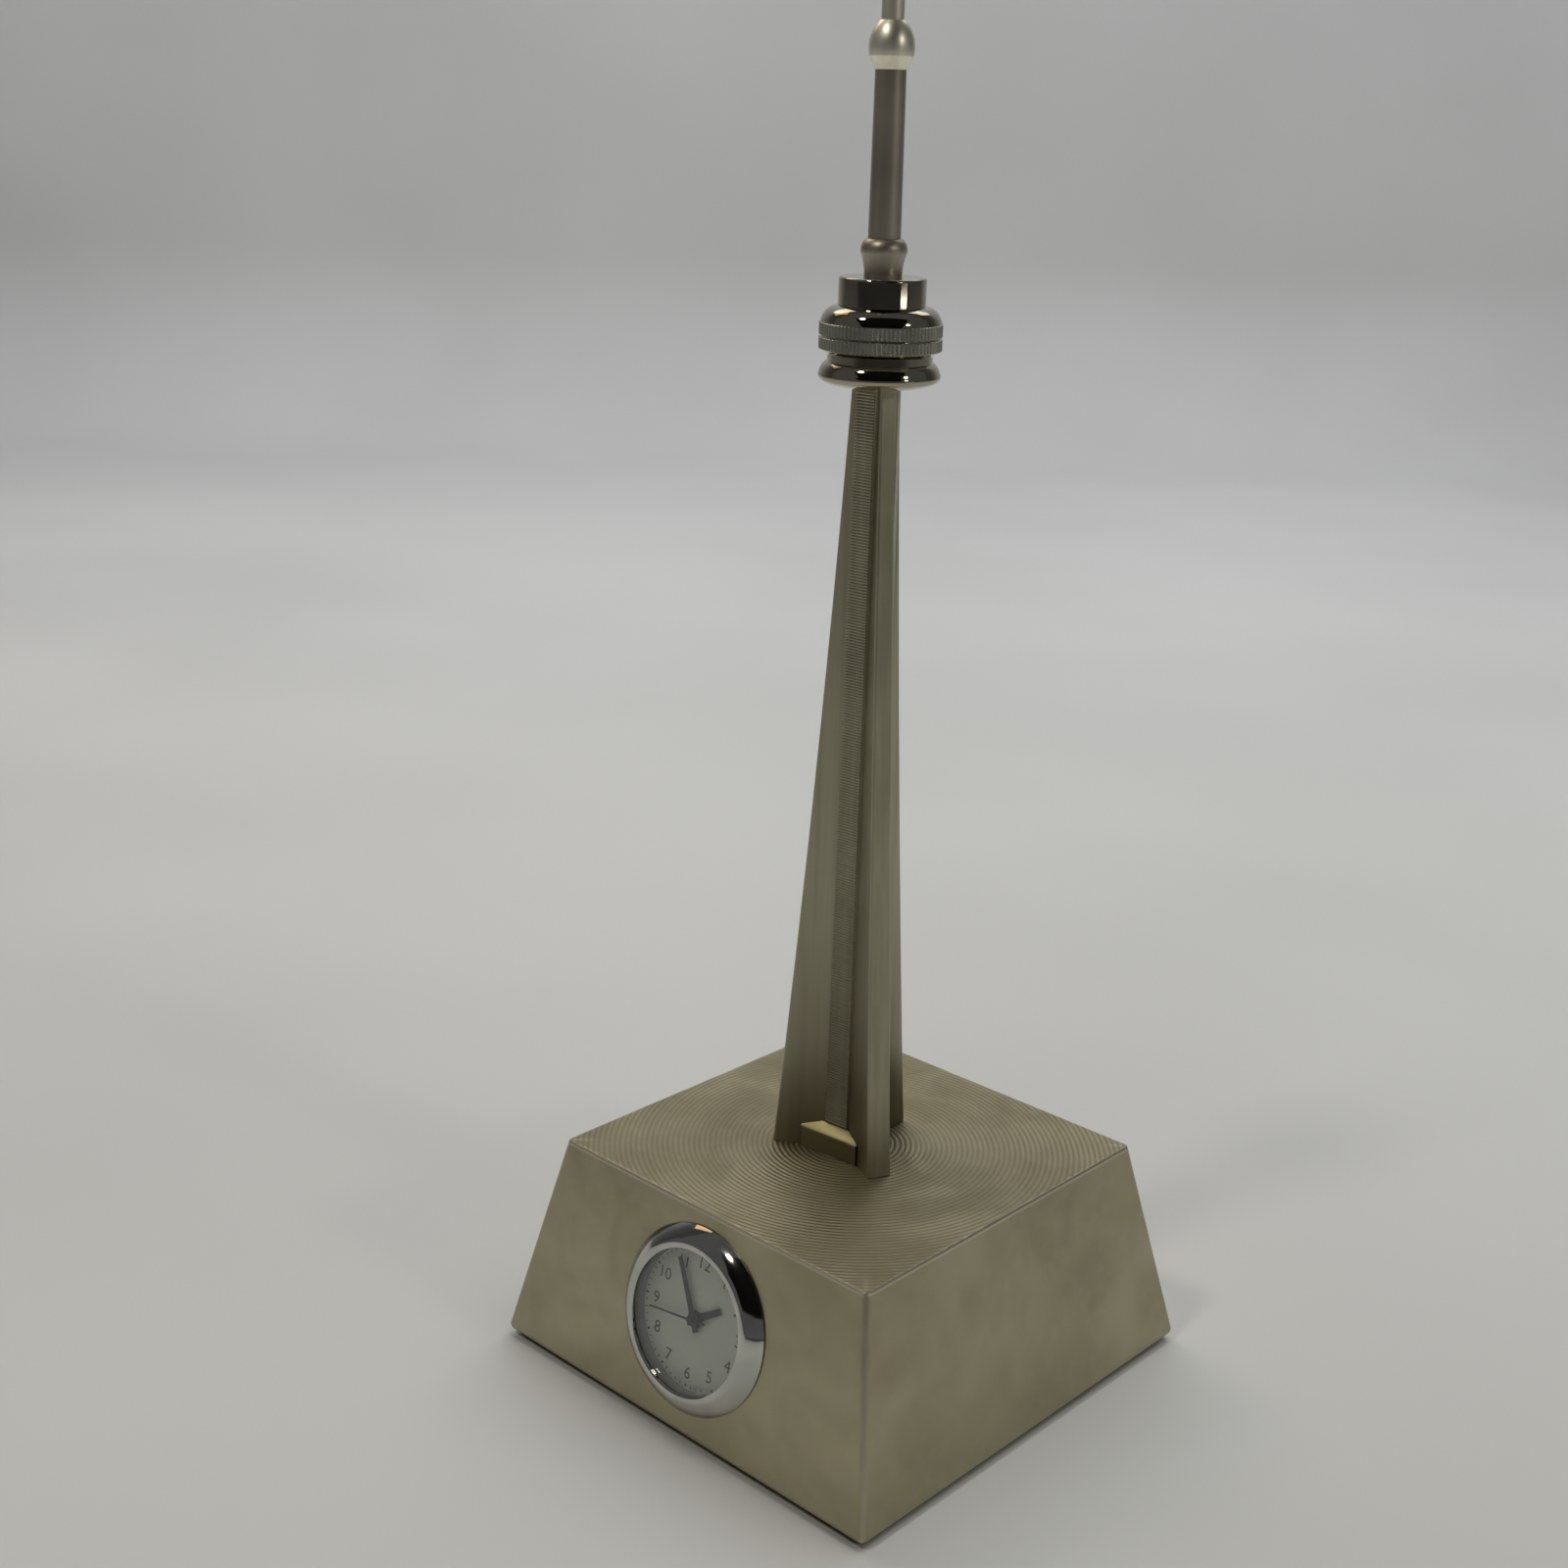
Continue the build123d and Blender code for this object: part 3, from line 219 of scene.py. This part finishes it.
def drawn_metal(name, colour, roughness=0.4, streaks=(900, 900, 22), depth_mm=0.01, painted_shade=0.0):
    """Satin plate with streaks drawn along Z, an uneven sheen, and painted shade low down between the legs.
    """
    made, tree, shader, where = material(name, colour, metallic=1.0, roughness=roughness)
    dark, light = shades(colour, 0.86, 1.1)
    lines = noise(tree, stretched(tree, where, streaks), 1.0, 3.0)
    patches = noise(tree, where, 60, 3.0, 0.4)
    mixed = maths(tree, "ADD", maths(tree, "MULTIPLY", lines, 0.45), maths(tree, "MULTIPLY", patches, 0.55))
    plated = tint(tree, spread(tree, mixed, 0.35, 0.65), dark, light)
    if painted_shade:
        # painted shade: darker near the axis and low down, between the legs, where shade falls
        height = node(tree, "ShaderNodeSeparateXYZ", {0: where}).outputs[2]
        inside = spread(tree, distance_from_z(tree, where), *PAINTED_SHADE_RADII, 1.0, 0.0)
        low = spread(tree, height, PLINTH_TOP, PLINTH_TOP + PAINTED_SHADE_HEIGHT, 1.0, 0.0)
        painted_shade_mask = maths(tree, "MULTIPLY", maths(tree, "MULTIPLY", inside, low), painted_shade)
        plated = tint(tree, painted_shade_mask, plated, (0.15, 0.125, 0.085))
    plug(tree, plated, shader, "Base Color")
    rough = spread(tree, patches, 0.3, 0.7, roughness - 0.05, roughness + 0.07)
    plug(tree, rough, shader, "Roughness")
    relief(tree, shader, lines, depth_mm, 0.5)
    return made


def pavilion_metal():
    """Satin plate, painted dark on the walls as shade and painted bright on the roof as light."""
    made, tree, shader, where = material(
        "pavilion_champagne", (0.5, 0.45, 0.32), metallic=1.0, roughness=0.34
    )
    patches = noise(tree, where, 260, 3.0, 0.5)
    height = node(tree, "ShaderNodeSeparateXYZ", {0: where}).outputs[2]
    ragged = maths(tree, "ADD", height, maths(tree, "MULTIPLY", patches, 0.4 * MM))
    # painted light: the walls are painted dark as shade, the roof painted bright as lit from above
    painted_lit_roof = spread(tree, ragged, PLINTH_TOP + ROOF_LEVELS[0], PLINTH_TOP + ROOF_LEVELS[1])
    plug(tree, tint(tree, painted_lit_roof, (0.24, 0.21, 0.145), (0.72, 0.64, 0.40)), shader, "Base Color")
    plug(tree, spread(tree, patches, 0.3, 0.7, 0.28, 0.42), shader, "Roughness")
    relief(tree, shader, noise(tree, where, 2200, 2.0), 0.008, 0.5)
    return made


def polished_metal(name, colour, roughness=0.035, smudge=0.1):
    """Bright plate with finger smudges and hairline rings round the tower's axis."""
    made, tree, shader, where = material(name, colour, metallic=1.0, roughness=roughness)
    dark, light = shades(colour, 0.9, 1.06)
    patches = noise(tree, where, 140, 4.0, 0.8)
    plug(tree, tint(tree, spread(tree, patches, 0.35, 0.7), light, dark), shader, "Base Color")
    plug(tree, spread(tree, patches, 0.42, 0.78, roughness, smudge), shader, "Roughness")
    hairlines = noise(tree, stretched(tree, where, (40, 40, 5200)), 1.0, 2.0)
    relief(tree, shader, hairlines, 0.0006, 0.05)
    return made


def turned_metal(name, colour, roughness=0.3, pitch_mm=0.12, depth_mm=0.004):
    """Machined plate with fine rings round the clock's axis."""
    made, tree, shader, where = material(name, colour, metallic=1.0, roughness=roughness)
    radius = distance_from_z(tree, clock_position(tree, where))
    turns = maths(tree, "MULTIPLY", radius, 2 * math.pi / (pitch_mm * MM))
    rings = maths(tree, "MULTIPLY_ADD", maths(tree, "SINE", turns), 0.5)
    patches = noise(tree, where, 300, 3.0)
    dark, light = shades(colour, 0.88, 1.06)
    plug(tree, tint(tree, spread(tree, patches, 0.35, 0.65), dark, light), shader, "Base Color")
    plug(tree, spread(tree, patches, 0.3, 0.7, roughness - 0.05, roughness + 0.08), shader, "Roughness")
    relief(tree, shader, rings, depth_mm, 0.5)
    return made


def clock_position(tree, where):
    """Position with the clock's own axes: dial right, dial up and outwards, from the dial's centre."""
    shift = node(tree, "ShaderNodeVectorMath", {0: where, 1: -CLOCK_CENTRE}, operation="ADD").outputs[0]
    lean = math.atan2(CLOCK_OUT.z, -CLOCK_OUT.y)
    turn = {"Vector": shift, "Axis": (1, 0, 0), "Angle": lean - math.pi / 2}
    return node(tree, "ShaderNodeVectorRotate", turn, rotation_type="AXIS_ANGLE").outputs[0]


def moulded(name, colour, roughness=0.5, depth_mm=0.006, scale=1400, **sockets):
    """Moulded plastic or rubber with a fine grain and faint flow marks."""
    made, tree, shader, where = material(name, colour, roughness=roughness, **sockets)
    dark, light = shades(colour, 0.85, 1.1)
    flow = noise(tree, where, 180, 3.0, 0.8)
    plug(tree, tint(tree, spread(tree, flow, 0.35, 0.65), dark, light), shader, "Base Color")
    plug(tree, spread(tree, flow, 0.3, 0.7, roughness - 0.06, roughness + 0.06), shader, "Roughness")
    relief(tree, shader, noise(tree, where, scale, 2.0), depth_mm, 0.5)
    return made


def felt_cloth():
    made, tree, shader, where = material(
        "brown_felt", (0.05, 0.045, 0.036), roughness=0.95, Sheen_Weight=0.6, Sheen_Roughness=0.4
    )
    fibres = noise(tree, where, 900, 6.0, 2.5)
    nap = noise(tree, where, 60, 2.0)
    woolly = maths(tree, "ADD", maths(tree, "MULTIPLY", fibres, 0.7), maths(tree, "MULTIPLY", nap, 0.3))
    plug(tree, tint(tree, spread(tree, woolly, 0.35, 0.7), (0.025, 0.022, 0.018), (0.1, 0.092, 0.075)),
         shader, "Base Color")
    relief(tree, shader, fibres, 0.2, 1.0)
    return made


def dial_paint():
    """Off-white lacquer with a faint sunray brush under it."""
    made, tree, shader, where = material("dial_white", (0.70, 0.73, 0.70), roughness=0.38, Coat_Weight=0.3)
    local = clock_position(tree, where)
    parts = node(tree, "ShaderNodeSeparateXYZ", {0: local}).outputs
    bearing = maths(tree, "ARCTAN2", parts[1], parts[0])
    rays_at = node(tree, "ShaderNodeCombineXYZ", {0: bearing}).outputs[0]
    rays = noise(tree, rays_at, 60, 3.0)
    plug(tree, tint(tree, spread(tree, rays, 0.3, 0.7), (0.86, 0.88, 0.72), (0.93, 0.95, 0.79)),
         shader, "Base Color")
    plug(tree, spread(tree, rays, 0.3, 0.7, 0.34, 0.44), shader, "Roughness")
    relief(tree, shader, noise(tree, where, 2400, 2.0), 0.003, 0.4)
    return made


def black_lacquer(name, roughness=0.22, coat=0.4):
    made, tree, shader, where = material(name, (0.012, 0.012, 0.014), roughness=roughness, Coat_Weight=coat)
    specks = noise(tree, where, 1900, 3.0)
    plug(tree, tint(tree, spread(tree, specks, 0.4, 0.7), (0.008, 0.008, 0.01), (0.024, 0.024, 0.027)),
         shader, "Base Color")
    plug(tree, spread(tree, specks, 0.3, 0.7, roughness - 0.04, roughness + 0.1), shader, "Roughness")
    relief(tree, shader, specks, 0.002, 0.4)
    return made


def clear_crystal():
    made, tree, shader, where = material(
        "crystal_glass", (0.97, 0.985, 0.99), roughness=0.0, Transmission_Weight=1.0, IOR=1.49
    )
    wear = noise(tree, where, 700, 4.0, 0.5)
    plug(tree, spread(tree, wear, 0.6, 0.8, 0.0, 0.05), shader, "Roughness")
    return made


def wound_copper():
    """Enamelled wire, wound in turns along the coil."""
    made, tree, shader, where = material("coil_copper", (0.62, 0.25, 0.11), metallic=0.9, roughness=0.3)
    across = node(tree, "ShaderNodeSeparateXYZ", {0: where}).outputs[0]
    turns = maths(tree, "SINE", maths(tree, "MULTIPLY", across, 2 * math.pi / (0.14 * MM)))
    height = maths(tree, "MULTIPLY_ADD", turns, 0.5)
    # painted shade: the grooves between the wire's turns are painted darker
    plug(tree, tint(tree, spread(tree, height, 0.0, 0.6), (0.22, 0.07, 0.03), (0.7, 0.3, 0.14)),
         shader, "Base Color")
    plug(tree, spread(tree, noise(tree, where, 800, 2.0), 0.3, 0.7, 0.24, 0.4), shader, "Roughness")
    relief(tree, shader, height, 0.03, 0.8)
    return made


def board_resin():
    """Solder mask over copper tracks."""
    made, tree, shader, where = material("board_green", (0.02, 0.16, 0.07), roughness=0.35, Coat_Weight=0.4)
    squares = node(
        tree, "ShaderNodeTexBrick",
        {"Vector": clock_position(tree, where), "Scale": 900, "Mortar Size": 0.03,
         "Color1": (0.02, 0.14, 0.06, 1), "Color2": (0.02, 0.14, 0.06, 1), "Mortar": (0.05, 0.26, 0.11, 1)},
    ).outputs
    plug(tree, squares["Color"], shader, "Base Color")
    plug(tree, spread(tree, noise(tree, where, 900, 2.0), 0.3, 0.7, 0.3, 0.42), shader, "Roughness")
    relief(tree, shader, squares["Fac"], 0.02, 0.6)
    return made


seconds_joint = next(joint for joint in frame["joints"] if joint["name"] == "seconds_turn")
CLOCK_CENTRE = Vector(seconds_joint["pos_m"])
CLOCK_OUT = -Vector(seconds_joint["axis"]).normalized()
CLOCK_RIGHT = Vector((1, 0, 0))
CLOCK_UP = CLOCK_OUT.cross(CLOCK_RIGHT)
CLOCK_FRAME = Matrix.Translation(CLOCK_CENTRE) @ Matrix(
    (CLOCK_RIGHT, CLOCK_UP, CLOCK_OUT)
).transposed().to_4x4()

SHAFT_COLOUR = (0.425, 0.397, 0.29)
SMOKED_CHROME = (0.42, 0.385, 0.30)
BRIGHT_CHROME = (0.52, 0.52, 0.48)
STEEL = (0.56, 0.56, 0.57)
BRASS = (0.78, 0.56, 0.25)
MILKY = (0.72, 0.72, 0.68)

shaft_metal = drawn_metal("shaft_champagne", SHAFT_COLOUR, roughness=0.4, painted_shade=0.5)
pod_metal = polished_metal("pod_polish", SMOKED_CHROME)
knurl_metal = polished_metal("knurl_polish", (0.46, 0.455, 0.39), roughness=0.25, smudge=0.35)
steel_metal = turned_metal("clock_steel", STEEL)
brass_metal = turned_metal("movement_brass", BRASS, roughness=0.28)
hand_lacquer = black_lacquer("hand_black", roughness=0.42, coat=0.0)
gear_resin = moulded("gear_resin", MILKY, roughness=0.4, Subsurface_Weight=0.05)

NODE_MATERIALS = {
    plinth_metal(): ["base_shell"],
    shaft_metal: ["tower_shaft"],
    pavilion_metal(): ["entrance_pavilion"],
    drawn_metal("mast_champagne", (0.44, 0.40, 0.325), roughness=0.42): ["mast", "mast_collar"],
    drawn_metal("antenna_champagne", (0.98, 0.91, 0.75), roughness=0.42): ["antenna", "sky_pod"],
    pod_metal: ["pod_flange", "pod_drum", "pod_tier"],
    polished_metal("bezel_chrome", BRIGHT_CHROME, roughness=0.05, smudge=0.12): ["bezel", "crown"],
    drawn_metal("zinc_steel", STEEL, roughness=0.45, streaks=(30, 900, 900)): [
        "bottom_plate", "plate_screws", "tower_screw", "tower_washer",
    ],
    felt_cloth(): ["felt_pad"],
    clear_crystal(): ["crystal"],
    dial_paint(): ["dial"],
    # the dial ring's dark grey is painted shade: the bezel's shadow on a pale ring
    moulded("dial_ring_painted_shade", (0.34, 0.35, 0.33), roughness=0.6): ["dial_ring"],
    hand_lacquer: ["hour_hand", "minute_hand", "seconds_hand"],
    steel_metal: ["clock_case", "case_back", "bridge_screws", "button_cell", "cell_strap",
                  "setting_lever", "stem", "stator", "quartz_can"],
    brass_metal: ["main_plate", "train_bridge", "centre_wheel", "seconds_wheel"],
    gear_resin: ["third_wheel", "minute_wheel", "hour_wheel", "intermediate_wheel", "rotor"],
    moulded("ring_resin", (0.66, 0.66, 0.62), roughness=0.5): ["movement_ring"],
    wound_copper(): ["coil"],
    board_resin(): ["circuit_board"],
    moulded("seal_rubber", (0.025, 0.025, 0.027), roughness=0.7, depth_mm=0.02): ["gasket"],
}
for finish, names in NODE_MATERIALS.items():
    for name in names:
        slots = frame["nodes"][name].material_slots
        for index in range(len(slots)):
            slots[index].material = finish


# ------------------------------------------------------------------ pieces
def piece(name, vertices, faces, finish, body, smooth=False):
    """A mesh object of the given finish that rides on a CAD body."""
    mesh = bpy.data.meshes.new(name)
    mesh.from_pydata([tuple(v) for v in vertices], [], faces)
    mesh.polygons.foreach_set("use_smooth", [smooth] * len(mesh.polygons))
    mesh.materials.append(finish)
    mesh.update()
    made = bpy.data.objects.new(name, mesh)
    bpy.context.collection.objects.link(made)
    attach(made, body)
    return made


# Serrated facings of the shaft's core, in the three channels between the legs.
SHAFT_HEIGHT = 111 * MM
CORE_APOTHEM = (3.5 * MM, 2.7 * MM)    # at the foot and at the top
RIB_PITCH = 0.4 * MM
RIB_PROFILE = ((0.0, 0.0), (0.22, 0.75), (0.42, 1.0), (0.58, 1.0), (0.78, 0.75))
RIB_DEPTH = 0.13 * MM
RIB_START = 4.1 * MM                   # above the plinth's top
RIB_END = 110.6 * MM
RIB_SINK = 0.06 * MM                   # of the facing's back into the core
RIB_STAND = 0.02 * MM                  # of the valleys out of the core
CHANNELS = {"core_ribs_front": 274, "core_ribs_right": 34, "core_ribs_left": 154}

for name, azimuth in CHANNELS.items():
    outward = Vector((math.cos(math.radians(azimuth)), math.sin(math.radians(azimuth)), 0))
    sideways = Vector((-outward.y, outward.x, 0))
    levels = []
    count = int((RIB_END - RIB_START) / RIB_PITCH)
    for index in range(count):
        for share, height in RIB_PROFILE:
            levels.append((RIB_START + (index + share) * RIB_PITCH, height * RIB_DEPTH))
    levels.append((RIB_START + count * RIB_PITCH, 0.0))
    vertices = []
    for height, proud in levels:
        apothem = CORE_APOTHEM[0] + (CORE_APOTHEM[1] - CORE_APOTHEM[0]) * height / SHAFT_HEIGHT
        half = apothem * math.tan(math.radians(30)) - 0.05 * MM
        up = Vector((0, 0, PLINTH_TOP + height))
        front = proud + RIB_STAND
        for side, depth in ((-1, front), (1, front), (1, -RIB_SINK), (-1, -RIB_SINK)):
            vertices.append(outward * (apothem + depth) + sideways * half * side + up)
    faces = [(3, 2, 1, 0)]
    for row in range(len(levels) - 1):
        for corner in range(4):
            after = (corner + 1) % 4
            low = 4 * row
            faces.append((low + corner, low + after, low + 4 + after, low + 4 + corner))
    last = 4 * (len(levels) - 1)
    faces.append((last, last + 1, last + 2, last + 3))
    piece(name, vertices, faces, shaft_metal, "base")


def fluted_ring(name, bands, flutes, inner, finish, body):
    """A ring of vertical flutes round the tower. bands: (height, radius at a flute, radius between)."""
    around = flutes * 4
    vertices, faces = [], []
    for height, crest, valley in bands:
        for index in range(around):
            angle = 2 * math.pi * index / around
            share = (0.0, 0.72, 1.0, 0.72)[index % 4]
            radius = valley + (crest - valley) * share
            vertices.append((radius * math.cos(angle), radius * math.sin(angle), height))
    for height in (bands[-1][0], bands[0][0]):
        for index in range(around):
            angle = 2 * math.pi * index / around
            vertices.append((inner * math.cos(angle), inner * math.sin(angle), height))
    rows = len(bands) + 2
    for row in range(rows):
        for index in range(around):
            after = (index + 1) % around
            low, high = row * around, (row + 1) % rows * around
            faces.append((low + index, low + after, high + after, high + index))
    return piece(name, vertices, faces, finish, body)


# Knurled bands on the pod's drum.
DRUM_RADIUS = 8.0 * MM
DRUM_BANDS_MM = {"drum_knurl_lower": (115.78, 117.42), "drum_knurl_upper": (117.58, 119.32)}
KNURL_FLUTES = 84
KNURL_PROUD = (0.14 * MM, 0.01 * MM)   # crest and valley, from the drum's radius
KNURL_ENDS = (-0.04 * MM, -0.06 * MM)  # the same at the band's two edges
KNURL_CHAMFER = 0.12 * MM
KNURL_THICK = 0.4 * MM                 # from the drum's radius inwards
for name, (low, high) in DRUM_BANDS_MM.items():
    low, high = PLINTH_TOP + low * MM, PLINTH_TOP + high * MM
    end_row = [DRUM_RADIUS + step for step in KNURL_ENDS]
    full_row = [DRUM_RADIUS + step for step in KNURL_PROUD]
    fluted_ring(
        name,
        [
            (low, *end_row),
            (low + KNURL_CHAMFER, *full_row),
            (high - KNURL_CHAMFER, *full_row),
            (high, *end_row),
        ],
        KNURL_FLUTES,
        DRUM_RADIUS - KNURL_THICK,
        knurl_metal,
        "base",
    )

# ------------------------------------------------------------------ print on the dial
DIAL_FRONT = -0.9 * MM
PRINT_THICK = 0.012 * MM
NUMBER_RADIUS = 8.1 * MM
NUMBER_SIZE = 2.5 * MM
TRACK_RADII = (9.75 * MM, 10.2 * MM)
print_black = black_lacquer("print_black", roughness=0.4)

number_vertices, number_faces = [], []
for hour in range(1, 13):
    curve = bpy.data.curves.new(f"number_{hour}", "FONT")
    curve.body = str(hour)
    curve.size = NUMBER_SIZE
    curve.align_x = curve.align_y = "CENTER"
    curve.extrude = PRINT_THICK / 2
    curve.resolution_u = 6
    text = bpy.data.objects.new(curve.name, curve)
    bpy.context.collection.objects.link(text)
    bpy.context.view_layer.update()
    outline = bpy.data.meshes.new_from_object(text.evaluated_get(bpy.context.evaluated_depsgraph_get()))
    low = [min(v.co[k] for v in outline.vertices) for k in (0, 1)]
    high = [max(v.co[k] for v in outline.vertices) for k in (0, 1)]
    angle = math.radians(30 * hour)
    centre = Vector((math.sin(angle), math.cos(angle), 0)) * NUMBER_RADIUS
    shift = centre - Vector(((low[0] + high[0]) / 2, (low[1] + high[1]) / 2, 0))
    shift.z = DIAL_FRONT + PRINT_THICK / 2
    first = len(number_vertices)
    number_vertices += [CLOCK_FRAME @ (v.co + shift) for v in outline.vertices]
    number_faces += [[first + k for k in polygon.vertices] for polygon in outline.polygons]
    bpy.data.objects.remove(text)
    bpy.data.curves.remove(curve)
    bpy.data.meshes.remove(outline)
piece("dial_numbers", number_vertices, number_faces, print_black, "clock")

track_vertices, track_faces = [], []
for minute in range(60):
    on_hour = minute % 5 == 0
    half = (0.13 if on_hour else 0.05) * MM
    turn = Matrix.Rotation(-math.radians(6 * minute), 4, "Z")
    first = len(track_vertices)
    for level in (DIAL_FRONT, DIAL_FRONT + PRINT_THICK):
        for x, end in ((-half, 0), (half, 0), (half, 1), (-half, 1)):
            y = TRACK_RADII[end]
            track_vertices.append(CLOCK_FRAME @ turn @ Vector((x, y, level)))
    for corners in ((3, 2, 1, 0), (4, 5, 6, 7), (0, 1, 5, 4), (1, 2, 6, 5), (2, 3, 7, 6), (3, 0, 4, 7)):
        track_faces.append([first + k for k in corners])
piece("dial_minute_track", track_vertices, track_faces, print_black, "clock")

# ------------------------------------------------------------------ stage and light
FLOOR_HALF = 4.0
WALL_BEHIND = 0.92        # distance from the tower to the sweep's wall, along the camera's view
WALL_HEIGHT = 3.0
DARK_FROM, DARK_BY = 0.5, 0.9          # in front of the tower, where the cloth turns dark
LAMP_CENTRE = Vector((0, 0, 0.09))     # the point that the lamps stand round
ROOM_COLOUR = (0.105, 0.106, 0.112, 1)
SWEEP_RADIUS = 0.10


def studio_floor():
    """A pale floor that turns up into a wall behind the object."""
    view = Vector((forward.x, forward.y, 0)).normalized()
    side = Vector((view.y, -view.x, 0))
    profile = [(-FLOOR_HALF, 0.0), (WALL_BEHIND - SWEEP_RADIUS, 0.0)]
    for step in range(1, 13):
        turn = math.pi / 2 * step / 12
        profile.append(
            (WALL_BEHIND - SWEEP_RADIUS * (1 - math.sin(turn)), SWEEP_RADIUS * (1 - math.cos(turn)))
        )
    profile.append((WALL_BEHIND, WALL_HEIGHT))
    ends = (-FLOOR_HALF, FLOOR_HALF)
    vertices = [view * d + side * s + Vector((0, 0, h)) for d, h in profile for s in ends]
    faces = [(2 * k, 2 * k + 1, 2 * k + 3, 2 * k + 2) for k in range(len(profile) - 1)]
    mesh = bpy.data.meshes.new("studio_floor")
    mesh.from_pydata([tuple(v) for v in vertices], [], faces)
    mesh.polygons.foreach_set("use_smooth", [True] * len(faces))
    made, tree, shader, where = material("studio_cloth", (0.62, 0.62, 0.60), roughness=0.9)
    soft = noise(tree, where, 5, 2.0)
    pale = tint(tree, spread(tree, soft, 0.3, 0.7), (0.60, 0.60, 0.575), (0.65, 0.65, 0.625))
    # the cloth darkens behind the camera, which the polished metal reflects
    along_view = node(tree, "ShaderNodeVectorMath", {0: where, 1: view}, operation="DOT_PRODUCT")
    ahead = along_view.outputs["Value"]
    plug(tree, tint(tree, spread(tree, ahead, -DARK_BY, -DARK_FROM, 1.0, 0.0), pale, (0.20, 0.20, 0.192)),
         shader, "Base Color")
    mesh.materials.append(made)
    floor = bpy.data.objects.new("studio_floor", mesh)
    bpy.context.collection.objects.link(floor)


def lamp(name, bearing, elevation, distance, size, power, colour, aim=LAMP_CENTRE, shape="RECTANGLE"):
    """An area light round the tower. bearing is in degrees from the camera's side, + to its right."""
    data = bpy.data.lights.new(name, "AREA")
    data.shape = shape
    data.size, data.size_y = size
    data.energy = power
    data.color = colour
    made = bpy.data.objects.new(name, data)
    angle = CAMERA_YAW + math.radians(bearing)
    flat = Vector((math.sin(angle), -math.cos(angle), 0))
    towards = flat * math.cos(math.radians(elevation)) + Vector((0, 0, math.sin(math.radians(elevation))))
    made.location = LAMP_CENTRE + towards * distance
    made.rotation_mode = "QUATERNION"
    made.rotation_quaternion = (Vector(aim) - made.location).to_track_quat("-Z", "Y")
    bpy.context.collection.objects.link(made)
    return made


def dark_card(name, bearing, elevation, distance, width, height, shade):
    """A matt dark board on the camera's side, above and behind it, which the polished metal reflects."""
    angle = CAMERA_YAW + math.radians(bearing)
    flat = Vector((math.sin(angle), -math.cos(angle), 0))
    side = Vector((-flat.y, flat.x, 0))
    towards = flat * math.cos(math.radians(elevation)) + Vector((0, 0, math.sin(math.radians(elevation))))
    up = side.cross(towards)
    centre = LAMP_CENTRE + towards * distance
    halves = ((-0.5, -0.5), (0.5, -0.5), (0.5, 0.5), (-0.5, 0.5))
    corners = [centre + side * width * x + up * height * y for x, y in halves]
    mesh = bpy.data.meshes.new(name)
    mesh.from_pydata([tuple(corner) for corner in corners], [], [(0, 1, 2, 3)])
    made, tree, shader, where = material(name, shade, roughness=0.95)
    cloudy = spread(tree, noise(tree, where, 6, 2.0), 0.3, 0.7)
    plug(tree, tint(tree, cloudy, shades(shade, 0.8)[0], shades(shade, 1.2)[0]), shader, "Base Color")
    mesh.materials.append(made)
    card = bpy.data.objects.new(name, mesh)
    bpy.context.collection.objects.link(card)


studio_floor()
# name, bearing, elevation, distance, size, power, colour
fill = lamp("overhead", 80, 66, 1.1, (0.9, 0.7), 3.7, (1.0, 0.995, 0.97))
fill.visible_glossy = False
wall_aim = forward * 0.9 + Vector((0, 0, 0.55))
wall_wash = lamp("wall_wash", 180, 62, 1.0, (1.4, 0.2), 4.1, (0.79, 0.85, 1.0), aim=wall_aim)
wall_wash.visible_glossy = False
lamp("left_window", -52, 56, 0.9, (0.12, 0.12), 1.35, (1.0, 0.97, 0.86), shape="DISK")
lamp("right_window", 52, 27, 0.9, (0.1, 0.1), 0.55, (1.0, 0.96, 0.84), shape="DISK")
lamp("low_window", 56, -0.93, 0.95, (0.3, 0.006), 0.03, (1.0, 0.97, 0.9))
lamp("warm_window", -133, 46, 0.9, (0.3, 0.3), 0.35, (1.0, 0.64, 0.36))
lamp("top_strip", 180, 50, 0.9, (1.2, 0.3), 1.85, (1.0, 0.98, 0.93), aim=(0, 0, PLINTH_TOP))
dark_card("dark_board", 0, 44, 1.2, 2.0, 1.3, (0.012, 0.011, 0.01))

world = bpy.data.worlds.new("studio")
world.use_nodes = True
world.node_tree.nodes["Background"].inputs["Color"].default_value = ROOM_COLOUR
bpy.context.scene.world = world
